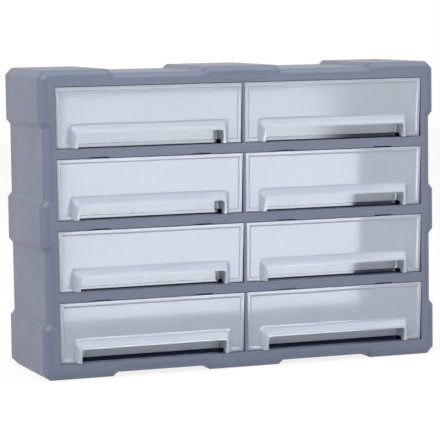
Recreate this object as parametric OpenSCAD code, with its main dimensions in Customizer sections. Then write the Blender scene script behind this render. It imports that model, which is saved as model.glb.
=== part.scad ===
// Parts bin cabinet: eight large pull-out drawers, two columns of four, in a moulded case.
// Millimetres. X runs to the right, Y to the back, Z up. The origin is on the floor,
// under the middle of the overall box, which reaches from the handle lips to the rear edge.

/* [Case] */
// Overall width, over the pads on both sides
case_w = 520; // [440:5:640]
// Overall height, over the top and bottom pads
case_h = 375; // [330:5:480]
// Depth from the face of the front frame to the rear edge
case_d = 154; // [120:1:240]
// Wall of the outer case
case_wall = 3; // [2:0.25:4]
// Bevel across each of the four outer corners
corner_bevel = 8.5; // [4:0.5:14]

/* [Pads] */
// How far the raised pads stand out from the recessed bands
pad_step = 5; // [2:0.5:7]
// Length of the sloped end of a pad
pad_slope = 6; // [3:0.5:10]
// Length of the corner pads along the top and bottom
corner_pad_w = 88; // [60:1:120]
// Length of the centre pads along the top and bottom
centre_pad_w = 92; // [60:1:140]
// Height of the corner pads up the sides
corner_pad_h = 64; // [40:1:90]
// Height of the centre pads on the sides
centre_pad_h = 52; // [30:1:80]

/* [Front frame] */
// Radius of the rounded outer edge of the front frame
front_round = 11; // [8:0.5:12]
// Number of flats around that rounding
round_steps = 9; // [6:1:12]
// Wall of the front frame's face
frame_wall = 3; // [2:0.25:4]
// Depth of the walls around the drawer windows
frame_d = 16; // [14:0.5:22]
// Wall around each drawer window
window_wall = 2.4; // [1.6:0.2:3.2]
// Width of the stiles beside the drawers
stile_w = 19; // [17:0.5:26]
// Height of the top and bottom rails
end_rail_h = 20; // [17:0.5:26]
// Height of the rails between the rows
mid_rail_h = 12; // [9:0.5:18]
// Width of the upright bar between the columns
mullion_w = 3; // [2:0.5:8]
// Lip that centres the front frame in the outer case
spigot_t = 2; // [1.5:0.25:3]
// Width of the notches under the rails
notch_w = 23; // [12:1:30]
// Height of the notches under the rails
notch_h = 1.2; // [0.6:0.1:2]
// Distance from a drawer's middle to each of its notches and stop lugs
notch_x = 66; // [40:1:90]
// Width of the raised oval on the top rail
badge_w = 88; // [60:1:120]
// Height of the raised oval
badge_h = 13; // [8:0.5:14]
// Width of the bare shallow oval sunk into it
badge_sink_w = 62; // [30:1:80]
// Height of the sunk oval
badge_sink_h = 9.5; // [5:0.5:11]
// Depth of the sunk oval
badge_sink_d = 0.6; // [0.3:0.1:1]

/* [Inner panels] */
// Thickness of the shelves and of the upright inner walls
panel_t = 2.5; // [2:0.25:4]
// Play of a tongue in its slot, all round
slot_play = 0.15; // [0.1:0.05:0.3]
// Length of the shelf tongues along the depth
tongue_l = 18; // [10:1:26]
// Distance of the front tongues behind the front frame
tongue_front = 24; // [16:1:30]
// Distance of the rear tongues in front of the back panel
tongue_rear = 22; // [16:1:30]

/* [Back panel] */
// Thickness of the back panel
back_t = 2.5; // [2:0.25:4]
// How far the back panel sits inside the rear edge
back_inset = 2; // [2:0.25:4]
// Play between the back panel and the outer case, all round
back_play = 0.3; // [0.1:0.05:0.6]
// Diameter of a hanging hole's round entry
keyhole_d = 9; // [7:0.5:12]
// Width of a hanging hole's slot
keyhole_slot_w = 4.5; // [3:0.25:5]
// Height of the slot above the round entry's middle
keyhole_slot_h = 12; // [9:0.5:18]
// Distance of each hanging hole from the middle of the cabinet
keyhole_x = 150; // [100:5:190]
// Distance of the hanging holes below the top
keyhole_drop = 45; // [30:1:70]
// Height of the stiffening ribs on the outside of the back panel
rib_h = 1.5; // [0.5:0.1:1.8]
// Width of the ribs on both sides of the back panel
rib_w = 3; // [2:0.5:5]

/* [Screws] */
// Diameter of a screw's shank
screw_d = 2.9; // [2.2:0.1:3.5]
// Diameter of a screw's pan head
screw_head_d = 6.4; // [5:0.2:8]
// Height of a screw's head
screw_head_h = 1.8; // [1.2:0.1:1.9]
// Length of a screw under its head
screw_l = 14; // [8:1:18]
// Radial play of the shank in its post and in the back panel
screw_play = 0.1; // [0.05:0.05:0.3]
// Diameter of the screw posts
post_d = 7.5; // [6:0.5:9]
// Length of the screw posts
post_l = 24; // [16:1:30]
// Distance of a screw from the outer face of its pad
screw_in = 9.5; // [8:0.5:11]

/* [Drawer front] */
// Running gap at each side of a drawer front
gap_side = 0.5; // [0.3:0.1:1]
// Gap above a drawer front
gap_top = 0.5; // [0.5:0.1:2]
// Running gap under a drawer
gap_under = 0.4; // [0.3:0.1:1]
// How far the foot of the front lies behind its top
front_lean = 4; // [0:0.5:6]
// How much each side draws in towards the foot
front_taper = 1.2; // [0:0.1:2]
// Wall of the drawer front
front_t = 2.2; // [1.6:0.2:3]
// Width of the raised rim round the drawer front
rim_w = 3.5; // [2:0.5:5]
// Height of the raised rim
rim_h = 1.2; // [0.6:0.1:2]
// Width of the slope inside the rim
rim_slope = 2.2; // [1:0.2:4]

/* [Drawer handle] */
// Width of the handle's hood
handle_w = 190; // [120:1:200]
// How far the hood's lip stands out of the front frame's face
lip_out = 6; // [3:0.5:10]
// Height of the lip above the foot of the front
lip_z = 18.8; // [14:0.5:20]
// Height at which the hood starts from the front
hood_z = 28.5; // [25:0.5:34]
// How much each end of the hood slopes in
hood_slope = 5; // [2:0.5:9]
// How far the hood's ends stand out at the foot
cheek_out = 2.5; // [1:0.5:4]
// Wall of the hood and of the finger pocket
hood_t = 1.8; // [1.4:0.1:2.4]
// Depth of the finger pocket behind the front frame's face
pocket_d = 15; // [12:0.5:20]
// Draw-in of the finger pocket's ends towards its back wall
pocket_draft = 1.2; // [0:0.1:3]
// Gap under the skirt that closes the space below the finger pocket's back wall
skirt_gap = 0.4; // [0.2:0.1:1]

/* [Drawer tub] */
// Wall of the tub
tub_wall = 1.8; // [1.4:0.1:2.4]
// Height of the tub's underside above the foot of the front
tub_rise = 4.6; // [3:0.2:7]
// Distance of each tub side inside the window
tub_side_in = 3.2; // [2:0.2:5]
// Distance of the tub's edge below the top of the front
tub_drop = 6; // [4:0.5:15]
// Room behind a closed drawer, which takes the heads of the wall screws
rear_gap = 5; // [3:0.5:9]
// Gap between a closed drawer and the ribs that stop it
stop_play = 0.3; // [0.2:0.1:1]
// Radius of the tub's rear corners
tub_round = 3.5; // [3:0.5:12]
// Width of the rolled edge round the tub
brim_w = 1.4; // [0.6:0.2:1.8]
// Height of the rolled edge
brim_h = 2.4; // [1.5:0.1:4]
// Width of a runner under the tub
runner_w = 3; // [2:0.5:6]
// Distance of each runner from the drawer's middle
runner_x = 84; // [50:1:100]
// Gap from the runners to the tub's front and rear
runner_end = 26; // [22:1:34]
// Height of the stop lugs above the top of the front
lug_h = 3.2; // [2.6:0.1:5]
// Width of the stop lugs
lug_w = 19; // [8:1:22]
// Clearance between the top drawers' stop lugs and the ceiling panel
lug_play = 0.7; // [0.4:0.1:1]

/* [Hidden] */

rows = 4;
frame_grey = "#7B8092";
case_grey = "#8D919C";
inner_grey = "#777C8C";
steel_grey = "#9A9DA3";
drawer_milk = "#C6CDD6";

front_y = -(case_d + lip_out) / 2 + lip_out;
back_face_y = case_d - back_inset;
back_front_y = back_face_y - back_t;
window_w = (case_w - 2 * stile_w - mullion_w) / 2;
window_h = (case_h - 2 * end_rail_h - (rows - 1) * mid_rail_h) / rows;
row_pitch = window_h + mid_rail_h;
column_x = (window_w + mullion_w) / 2;
inner_x = case_w / 2 - stile_w;
front_w = window_w - 2 * gap_side;
front_h = window_h - gap_top - gap_under;
tub_w = window_w - 2 * tub_side_in;
tub_rear = back_front_y - rear_gap;
tub_top = front_h - tub_drop;
badge_z = case_h - end_rail_h / 2 - (end_rail_h - badge_h) / 4;
rib_x = inner_x - 2 * tub_round;
lap_y = (frame_d + back_front_y) / 2;
bevel_shift = tan(22.5);
slope_shift = tan(atan2(pad_step, pad_slope) / 2);
overlap = 1;
fine = 48;
screw_fine = 24;

// Height of the sill of a row's windows, counted from the bottom row.
function sill_z(row) = end_rail_h + row * row_pitch;
// Height of the top of a shelf. Past the last row that is the ceiling panel, clear of the stop lugs.
function deck_z(level) = level < rows ? sill_z(level)
    : sill_z(rows - 1) + gap_under + front_h + lug_h + lug_play + panel_t;

// One edge of the stepped outline, drawn in by an inset: corner pad, band, centre pad and back.
function half_edge(length, out, end_l, mid_l, inset) = [
    [-length / 2 + corner_bevel + inset * bevel_shift, out - inset],
    [-length / 2 + end_l - inset * slope_shift, out - inset],
    [-length / 2 + end_l + pad_slope - inset * slope_shift, out - pad_step - inset],
    [-mid_l / 2 - pad_slope + inset * slope_shift, out - pad_step - inset],
    [-mid_l / 2 + inset * slope_shift, out - inset]];
function mirrored(points) = [for (i = [len(points) - 1:-1:0]) [-points[i][0], points[i][1]]];
function whole_edge(length, out, end_l, mid_l, inset) =
    let (half = half_edge(length, out, end_l, mid_l, inset)) concat(half, mirrored(half));

// The closed outline of the cabinet, seen from the front, about its middle.
function outline(inset) =
    let (flat = whole_edge(case_w, case_h / 2, corner_pad_w, centre_pad_w, inset),
        side = whole_edge(case_h, case_w / 2, corner_pad_h, centre_pad_h, inset))
    concat([for (p = flat) [p[0], p[1]]], [for (p = side) [p[1], -p[0]]],
        [for (p = flat) [-p[0], -p[1]]], [for (p = side) [-p[1], p[0]]]);

// Lays a flat shape, drawn as seen from the front, from y0 back to y1.
module from_front(y0, y1) {
    translate([0, y1, 0]) rotate([90, 0, 0]) linear_extrude(height = y1 - y0) children();
}

// Lays a side profile, drawn as [y, z], across the width.
module across(width) {
    translate([-width / 2, 0, 0]) rotate([90, 0, 90]) linear_extrude(height = width) children();
}

// The stepped outline as a straight bar.
module outline_bar(inset, y0, y1) {
    translate([0, 0, case_h / 2]) from_front(y0, y1) polygon(outline(inset));
}

// A ring of the stepped outline, from a closed cross-section of [inset, y] points.
module outline_ring(section) {
    count = len(outline(0));
    turns = len(section);
    points = [for (s = section) for (p = outline(s[0])) [p[0], s[1], p[1] + case_h / 2]];
    faces = [for (r = [0:turns - 1]) for (i = [0:count - 1])
        let (n = (r + 1) % turns, j = (i + 1) % count)
        [r * count + i, n * count + i, n * count + j, r * count + j]];
    polyhedron(points = points, faces = faces, convexity = 10);
}

// Points of a quarter round that starts at an inset and a depth, between two of its angles.
function quarter(inset, radius, y0, from, to) = [for (i = [0:round_steps])
    let (a = from + (to - from) * i / round_steps)
    [inset + radius * (1 - cos(a)), y0 + radius * (1 - sin(a))]];

// Cross-section of the rounded edge, its shoulder on the outer case and its lip inside the case.
function edge_section() =
    let (lip = case_wall + slot_play, inner_r = front_round - frame_wall,
        lip_angle = acos(1 - (lip + spigot_t - frame_wall) / inner_r))
    concat([[front_round + overlap, 0]], quarter(0, front_round, 0, 90, 0),
        [[lip, front_round], [lip, frame_d], [lip + spigot_t, frame_d]],
        quarter(frame_wall, inner_r, frame_wall, lip_angle, 90), [[front_round + overlap, frame_wall]]);

// A pointed oval, from two equal arcs.
module oval(width, height) {
    arc_r = (pow(width / 2, 2) + pow(height / 2, 2)) / height;
    intersection_for (side = [-1, 1]) translate([0, side * (arc_r - height / 2)])
        circle(r = arc_r, $fn = 2 * fine);
}

// Each window, drawn as seen from the front, grown by a margin.
module windows(margin) {
    for (row = [0:rows - 1]) for (side = [-1, 1])
        translate([side * column_x - window_w / 2 - margin, sill_z(row) - margin])
            square([window_w + 2 * margin, window_h + 2 * margin]);
}

// The notches in the underside of the rails between the rows.
module rail_notches() {
    for (row = [0:rows - 2]) for (side = [-1, 1]) for (end = [-1, 1])
        translate([side * column_x + end * notch_x - notch_w / 2, -overlap, sill_z(row) + window_h - overlap])
            cube([notch_w, frame_d + 2 * overlap, notch_h + overlap]);
}

// The raised oval on the top rail, or with a smaller size the bare one sunk into it.
module badge(width, height, y0, y1) {
    translate([0, 0, badge_z]) from_front(y0, y1) oval(width, height);
}

module front_frame() {
    color(frame_grey) translate([0, front_y, 0]) difference() {
        union() {
            outline_ring(edge_section());
            outline_bar(front_round, 0, frame_wall);
            from_front(overlap, frame_d) windows(window_wall);
            badge(badge_w, badge_h, 0, frame_wall + overlap);
        }
        badge(badge_sink_w, badge_sink_h, -overlap, badge_sink_d);
        from_front(-overlap, frame_d + overlap) windows(0);
        rail_notches();
    }
}

// Places its children at every screw: three up each side, one in the middle of the top and bottom.
// Each child's own X points out to the wall beside it, and its Z points to the front.
module at_screws() {
    side_x = case_w / 2 - screw_in;
    heights = [corner_pad_h / 2, case_h / 2, case_h - corner_pad_h / 2];
    spots = concat([for (z = heights) [side_x, z, 0]], [for (z = heights) [-side_x, z, 180]],
        [[0, screw_in, 90], [0, case_h - screw_in, -90]]);
    for (s = spots) translate([s[0], back_front_y, s[1]]) rotate([90, s[2], 0]) children();
}

module outer_case() {
    color(case_grey) translate([0, front_y, 0]) difference() {
        union() {
            difference() {
                outline_bar(0, front_round, case_d);
                outline_bar(case_wall, front_round - overlap, case_d + overlap);
            }
            at_screws() {
                cylinder(d = post_d, h = post_l, $fn = fine);
                translate([0, -panel_t / 2, 0]) cube([screw_in - case_wall / 2, panel_t, post_l]);
            }
        }
        at_screws() translate([0, 0, -overlap])
            cylinder(d = screw_d + 2 * screw_play, h = screw_l + overlap, $fn = fine);
    }
}

// A hanging hole: a round entry with a slot above it.
module keyhole() {
    from_front(back_front_y - overlap, case_d + overlap) {
        circle(d = keyhole_d, $fn = fine);
        translate([-keyhole_slot_w / 2, 0]) square([keyhole_slot_w, keyhole_slot_h]);
        translate([0, keyhole_slot_h]) circle(d = keyhole_slot_w, $fn = screw_fine);
    }
}

// Ribs inside the back panel, in line with the runners, that stop the closing drawers.
module stop_ribs() {
    for (row = [0:rows - 1]) for (side = [-1, 1]) for (end = [-1, 1])
        translate([side * column_x + end * runner_x, 0, sill_z(row) + gap_under])
            from_front(tub_rear + stop_play, back_front_y + overlap)
                translate([-rib_w / 2, 0]) square([rib_w, tub_top]);
}

module back_panel() {
    color(inner_grey) translate([0, front_y, 0]) difference() {
        union() {
            outline_bar(case_wall + back_play, back_front_y, back_face_y);
            stop_ribs();
            for (row = [1:rows - 1]) translate([0, 0, sill_z(row) - mid_rail_h / 2])
                from_front(back_face_y - overlap, back_face_y + rib_h)
                    translate([-rib_x, -rib_w / 2]) square([2 * rib_x, rib_w]);
            for (side = [-1, 0, 1]) translate([side * rib_x, 0, 0])
                from_front(back_face_y - overlap, back_face_y + rib_h)
                    translate([-rib_w / 2, end_rail_h]) square([rib_w, case_h - 2 * end_rail_h]);
        }
        for (side = [-1, 1]) translate([side * keyhole_x, 0, case_h - keyhole_drop]) keyhole();
        at_screws() translate([0, 0, -back_t - rib_h - overlap])
            cylinder(d = screw_d + 2 * screw_play, h = back_t + rib_h + 2 * overlap, $fn = fine);
    }
}

// Pan-head screws that hold the back panel to the posts.
module back_screws() {
    color(steel_grey) translate([0, front_y, 0]) at_screws() translate([0, 0, -back_t]) difference() {
        union() {
            cylinder(d = screw_d, h = screw_l, $fn = fine);
            translate([0, 0, -screw_head_h]) cylinder(d = screw_head_d, h = screw_head_h, $fn = fine);
        }
        for (turn = [0, 90]) rotate(turn) translate([-screw_head_d * 0.3, -screw_d / 8, -screw_head_h])
            cube([screw_head_d * 0.6, screw_d / 4, screw_head_h / 2]);
    }
}

// Places its children at the four tongues of a shelf; their X points out past the shelf's edge.
module at_tongues() {
    tongue_y = [frame_d + tongue_front, back_front_y - tongue_rear - tongue_l];
    for (y = tongue_y) for (side = [0, 1]) mirror([side, 0, 0]) translate([inner_x, y, 0]) children();
}

// A flat shelf that rests its tongues in the inner walls. Those between rows take the centre wall
// in a slot from the rear; the other two meet it edge to face.
module shelf(level, slotted) {
    color(inner_grey) translate([0, front_y, deck_z(level) - panel_t]) difference() {
        union() {
            translate([-inner_x, frame_d, 0]) cube([2 * inner_x, back_front_y - frame_d, panel_t]);
            at_tongues() translate([-overlap, 0, 0]) cube([panel_t + overlap, tongue_l, panel_t]);
        }
        if (slotted) translate([-panel_t / 2 - slot_play, lap_y, -overlap])
            cube([panel_t + 2 * slot_play, back_front_y - lap_y + overlap, panel_t + 2 * overlap]);
    }
}
module base_shelf() { shelf(0, false); }
module lower_shelf() { shelf(1, true); }
module middle_shelf() { shelf(2, true); }
module upper_shelf() { shelf(3, true); }
module ceiling_panel() { shelf(rows, false); }

// An upright wall beside a column, from the floor of the case to its top, with slots for the shelves.
module side_wall(side) {
    color(inner_grey) translate([0, front_y, 0]) mirror([side < 0 ? 1 : 0, 0, 0]) difference() {
        translate([inner_x, frame_d, case_wall])
            cube([panel_t, back_front_y - frame_d, case_h - 2 * case_wall]);
        for (level = [0:rows]) translate([0, 0, deck_z(level) - panel_t - slot_play]) at_tongues()
            translate([-overlap, -slot_play, 0])
                cube([panel_t + 2 * overlap, tongue_l + 2 * slot_play, panel_t + 2 * slot_play]);
    }
}
module left_inner_wall() { side_wall(-1); }
module right_inner_wall() { side_wall(1); }

// The wall between the columns. Slots from its front edge straddle the shelves between the rows.
module centre_wall() {
    color(inner_grey) translate([0, front_y, 0]) difference() {
        translate([-panel_t / 2, frame_d, sill_z(0)])
            cube([panel_t, back_front_y - frame_d, deck_z(rows) - panel_t - sill_z(0)]);
        for (row = [1:rows - 1])
            translate([-panel_t / 2 - overlap, frame_d - overlap, sill_z(row) - panel_t - slot_play])
                cube([panel_t + 2 * overlap, lap_y - frame_d + overlap, panel_t + 2 * slot_play]);
    }
}

// Depth of the drawer front's face at a height, counted from the front frame's face.
function face_y(z) = front_lean * (1 - z / front_h);
// Half the width of the drawer front at a height.
function half_front(z) = front_w / 2 - front_taper * (1 - z / front_h);
// A corner of a shape laid on the drawer front: how far out, how high and how deep.
function on_face(x, z, depth) = [x, face_y(z) + depth, z];

// A six-sided block from two rings of four corners, front and rear, each clockwise from the lower left.
module block(front, rear) {
    polyhedron(points = concat(front, rear), faces = [[0, 1, 2, 3], [7, 6, 5, 4],
        [0, 4, 5, 1], [1, 5, 6, 2], [2, 6, 7, 3], [3, 7, 4, 0]]);
}
// Four corners on the drawer front, drawn in by a margin and set at a depth.
function face_ring(margin, depth) = [
    on_face(-half_front(margin) + margin, margin, depth),
    on_face(-half_front(front_h - margin) + margin, front_h - margin, depth),
    on_face(half_front(front_h - margin) - margin, front_h - margin, depth),
    on_face(half_front(margin) - margin, margin, depth)];

// The leaning front: a plate with a raised rim round a sunken panel.
module front_plate() {
    difference() {
        block(face_ring(0, 0), face_ring(0, front_t + rim_h));
        block(face_ring(rim_w - rim_slope, -rim_h), face_ring(rim_w + rim_slope, rim_h));
    }
}

// The hood over the finger pocket: its top and ends slope out from the front to a straight lip.
module hood() {
    lip_reach = face_y(lip_z) + lip_out;
    foot_x = handle_w / 2 + hood_slope * (1 - (cheek_out + face_y(0)) / lip_reach);
    root_x = handle_w / 2 + hood_slope;
    block([[-foot_x, -cheek_out, 0], [-handle_w / 2, -lip_out, lip_z],
            [handle_w / 2, -lip_out, lip_z], [foot_x, -cheek_out, 0]],
        [on_face(-root_x, 0, rim_h + overlap), on_face(-root_x, hood_z, rim_h + overlap),
            on_face(root_x, hood_z, rim_h + overlap), on_face(root_x, 0, rim_h + overlap)]);
}

// The hollow of the hood and pocket, as a side profile drawn in by a wall.
function pocket_profile(wall) = [
    [-2 * lip_out, -overlap + wall], [-2 * lip_out, lip_z - hood_t],
    [-lip_out + hood_t, lip_z - hood_t], [face_y(hood_z) + rim_h, hood_z - 1.5 * hood_t + wall],
    [pocket_d - 2 + wall, hood_z - 2.5 * hood_t + wall], [pocket_d + wall, hood_z - 3.5 * hood_t + wall],
    [pocket_d + wall, -overlap + wall]];
module pocket_space(wall, floor_z) {
    mouth_x = handle_w / 2 - hood_t + wall;
    deep_x = mouth_x - pocket_draft;
    intersection() {
        across(handle_w + 2 * hood_t) polygon(pocket_profile(wall));
        translate([0, 0, floor_z]) linear_extrude(height = hood_z) polygon([[-mouth_x, -2 * lip_out],
            [mouth_x, -2 * lip_out], [mouth_x, face_y(0)], [deep_x, pocket_d + wall],
            [-deep_x, pocket_d + wall], [-mouth_x, face_y(0)]]);
    }
}

// The skirt that carries the finger pocket's back wall down to the foot of the drawer.
module skirt() {
    half_w = handle_w / 2 - hood_t - pocket_draft;
    translate([-half_w, pocket_d, skirt_gap]) cube([2 * half_w, hood_t, tub_rise + overlap - skirt_gap]);
}

// A rectangle seen from above, from y0 back to y1, with rounded rear corners.
module rear_rounded(width, y0, y1, radius) {
    translate([-width / 2, y0]) square([width, y1 - y0 - radius]);
    translate([-width / 2 + radius, y0]) square([width - 2 * radius, y1 - y0]);
    for (side = [-1, 1]) translate([side * (width / 2 - radius), y1 - radius])
        circle(r = radius, $fn = fine);
}

// Everything in front of a depth behind the drawer front's face.
module before_face(depth) {
    across(case_w) polygon([[-case_d, -case_h], [face_y(-case_h) + depth, -case_h],
        [face_y(case_h) + depth, case_h], [-case_d, case_h]]);
}

// The open tub, with a rolled edge, two runners underneath and two stop lugs on its rear wall.
module tub() {
    difference() {
        union() {
            translate([0, 0, tub_rise]) linear_extrude(height = tub_top - tub_rise)
                rear_rounded(tub_w, 0, tub_rear - brim_w, tub_round);
            translate([0, 0, tub_top - brim_h]) linear_extrude(height = brim_h)
                rear_rounded(tub_w + 2 * brim_w, 0, tub_rear, tub_round + brim_w);
            for (side = [-1, 1]) translate([side * runner_x - runner_w / 2, runner_end, 0])
                cube([runner_w, tub_rear - 2 * runner_end, tub_rise + overlap]);
        }
        translate([0, 0, tub_rise + tub_wall]) linear_extrude(height = front_h)
            rear_rounded(tub_w - 2 * tub_wall, -overlap, tub_rear - brim_w - tub_wall, tub_round - tub_wall);
    }
    for (side = [-1, 1])
        translate([side * notch_x - lug_w / 2, tub_rear - brim_w - tub_wall, tub_top - brim_h])
            cube([lug_w, tub_wall, front_h + lug_h - tub_top + brim_h]);
}

module drawer_shape() {
    difference() {
        union() {
            front_plate();
            hood();
            difference() {
                union() {
                    tub();
                    pocket_space(hood_t, tub_rise);
                }
                before_face(rim_h + overlap);
            }
        }
        pocket_space(0, -overlap);
    }
    skirt();
}

// A drawer in its window: side -1 is the left column, row 0 the bottom.
module drawer(side, row) {
    color(drawer_milk) translate([side * column_x, front_y, sill_z(row) + gap_under]) drawer_shape();
}
module top_left_drawer() { drawer(-1, 3); }
module top_right_drawer() { drawer(1, 3); }
module upper_left_drawer() { drawer(-1, 2); }
module upper_right_drawer() { drawer(1, 2); }
module lower_left_drawer() { drawer(-1, 1); }
module lower_right_drawer() { drawer(1, 1); }
module bottom_left_drawer() { drawer(-1, 0); }
module bottom_right_drawer() { drawer(1, 0); }

front_frame();
outer_case();
back_panel();
back_screws();
base_shelf();
lower_shelf();
middle_shelf();
upper_shelf();
ceiling_panel();
left_inner_wall();
right_inner_wall();
centre_wall();
top_left_drawer();
top_right_drawer();
upper_left_drawer();
upper_right_drawer();
lower_left_drawer();
lower_right_drawer();
bottom_left_drawer();
bottom_right_drawer();
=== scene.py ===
"""Looks of the parts bin cabinet: mouldings, finishes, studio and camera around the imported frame.

Lengths are in metres. X runs to the right, Y to the back and Z up, as in the frame.
Loops are lists of points seen from the front (x, z) or from above (x, y), counter-clockwise.
"""

import logging  # noqa: E402
import math  # noqa: E402
from dataclasses import dataclass, field  # noqa: E402
from enum import Enum  # noqa: E402
from typing import Iterable, Mapping, Sequence  # noqa: E402

import bmesh  # noqa: E402
import bpy  # noqa: E402
from mathutils import Matrix, Vector  # noqa: E402
from mathutils.geometry import tessellate_polygon  # noqa: E402


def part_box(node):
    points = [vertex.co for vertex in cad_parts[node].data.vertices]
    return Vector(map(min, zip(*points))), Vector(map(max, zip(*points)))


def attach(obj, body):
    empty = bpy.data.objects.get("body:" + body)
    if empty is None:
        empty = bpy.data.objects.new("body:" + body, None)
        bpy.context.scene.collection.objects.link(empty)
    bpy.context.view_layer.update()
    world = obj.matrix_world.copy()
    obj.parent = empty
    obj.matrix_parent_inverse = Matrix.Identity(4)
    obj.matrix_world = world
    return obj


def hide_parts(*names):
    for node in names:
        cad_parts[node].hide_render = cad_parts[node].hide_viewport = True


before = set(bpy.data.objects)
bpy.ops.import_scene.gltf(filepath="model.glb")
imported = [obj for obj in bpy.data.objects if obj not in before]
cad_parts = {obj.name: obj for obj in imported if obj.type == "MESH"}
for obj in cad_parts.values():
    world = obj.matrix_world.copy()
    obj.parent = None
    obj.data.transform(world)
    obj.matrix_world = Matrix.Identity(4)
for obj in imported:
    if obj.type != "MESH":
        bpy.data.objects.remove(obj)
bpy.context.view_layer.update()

log = logging.getLogger("cabinet")

Point = tuple[float, float]
Loop = list[Point]
Point3 = tuple[float, float, float]
Colour = tuple[float, float, float]
Spots = Sequence[tuple[Vector, Vector]]
Inputs = Mapping[str | int, object]
Object = bpy.types.Object
Mesh = bpy.types.Mesh
Material = bpy.types.Material
Socket = bpy.types.NodeSocket

CABINET = "cabinet"

# Points closer than WELD become one. Edges that turn further than SHARP_DEG are shaded sharp, and
# those past SOFTENED_DEG get a small radius where a piece is softened.
WELD = 2e-6
SHARP_DEG = 32.0
SOFTENED_DEG = 35.0


class Slot(Enum):
    """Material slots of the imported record."""

    FRONT = "front_frame"
    CASE = "outer_case"
    PANELS = "inner_panels"
    DRAWERS = "drawers"
    SCREWS = "screws"


class Column(Enum):
    """Columns of drawers, with the side of the middle that they lie on."""

    LEFT = -1
    RIGHT = 1


class Row(Enum):
    """Rows of drawers, counted from the floor."""

    BOTTOM = 0
    LOWER = 1
    UPPER = 2
    TOP = 3


# ---------------------------------------------------------------- flat loops


def offset_loop(loop: Loop, distance: float) -> Loop:
    """Moves every edge of a counter-clockwise loop outwards.

    Args:
        loop: The corners.
        distance: How far the edges move; negative moves them inwards.

    Returns:
        The moved corners.
    """
    moved = []
    for index, here in enumerate(loop):
        before = Vector(here) - Vector(loop[index - 1])
        after = Vector(loop[(index + 1) % len(loop)]) - Vector(here)
        first = Vector((before.y, -before.x)).normalized()
        second = Vector((after.y, -after.x)).normalized()
        shift = (first + second) / (1 + first.dot(second)) * distance
        moved.append((here[0] + shift.x, here[1] + shift.y))
    return moved


def round_loop(loop: Loop, radius: float, steps: int, growth: float = 0.0, least: float = 0.0003) -> Loop:
    """Rounds the corners of a counter-clockwise loop with arcs.

    Args:
        loop: The sharp corners.
        radius: Radius of a corner before the loop was moved.
        steps: Flats in each arc.
        growth: How far the loop was moved outwards, which widens convex arcs and narrows hollow ones.
        least: Smallest radius that is left.

    Returns:
        The rounded loop, with steps + 1 points for each corner.
    """
    rounded = []
    for index, here in enumerate(loop):
        corner = Vector(here)
        before = corner - Vector(loop[index - 1])
        after = Vector(loop[(index + 1) % len(loop)]) - corner
        arriving, leaving = before.normalized(), after.normalized()
        turn = math.atan2(arriving.cross(leaving), arriving.dot(leaving))
        side = 1 if turn > 0 else -1
        wanted = max(radius + side * growth, least) * math.tan(abs(turn) / 2)
        reach = min(wanted, 0.49 * before.length, 0.49 * after.length)
        arc = reach / math.tan(abs(turn) / 2)
        start = corner - arriving * reach
        centre = start + Vector((-arriving.y, arriving.x)) * (side * arc)
        for step in range(steps + 1):
            angle = turn * step / steps
            spoke = Matrix.Rotation(angle, 2) @ (start - centre)
            rounded.append((centre.x + spoke.x, centre.y + spoke.y))
    return rounded


def rectangle(x0: float, x1: float, y0: float, y1: float) -> Loop:
    """Returns the four corners of a rectangle, counter-clockwise."""
    return [(x0, y0), (x1, y0), (x1, y1), (x0, y1)]


def quarter(steps: int) -> list[Point]:
    """Returns how far a quarter round has come in and gone on, from 0, 0 to 1, 1, in equal turns."""
    turns = [math.pi / 2 * step / steps for step in range(steps + 1)]
    return [(1 - math.cos(turn), math.sin(turn)) for turn in turns]


def circle(radius: float, flats: int) -> Loop:
    """Returns a circle about the origin as a loop of equal flats."""
    turns = [2 * math.pi * flat / flats for flat in range(flats)]
    return [(radius * math.cos(turn), radius * math.sin(turn)) for turn in turns]


# ---------------------------------------------------------------- meshes


def new_mesh(name: str, points: Sequence[Sequence[float]], faces: Sequence[Sequence[int]] = ()) -> Mesh:
    """Makes a mesh of points and faces, and returns it."""
    mesh = bpy.data.meshes.new(name)
    mesh.from_pydata(points, [], faces)
    return mesh


def new_object(name: str, mesh: Mesh) -> Object:
    """Links a new object that shows a mesh, and returns it."""
    made = bpy.data.objects.new(name, mesh)
    bpy.context.scene.collection.objects.link(made)
    return made


def tidy_mesh(mesh: Mesh, smooth_deg: float = SHARP_DEG) -> None:
    """Welds a mesh, turns its faces outwards and sets which edges are sharp.

    Args:
        mesh: The mesh, which is changed.
        smooth_deg: Edges that turn further than this stay sharp.
    """
    build = bmesh.new()
    build.from_mesh(mesh)
    bmesh.ops.remove_doubles(build, verts=build.verts, dist=WELD)
    bmesh.ops.dissolve_degenerate(build, edges=build.edges, dist=WELD)
    bmesh.ops.recalc_face_normals(build, faces=build.faces)
    build.to_mesh(mesh)
    build.free()
    mesh.shade_smooth()
    mesh.set_sharp_from_angle(angle=math.radians(smooth_deg))


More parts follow.
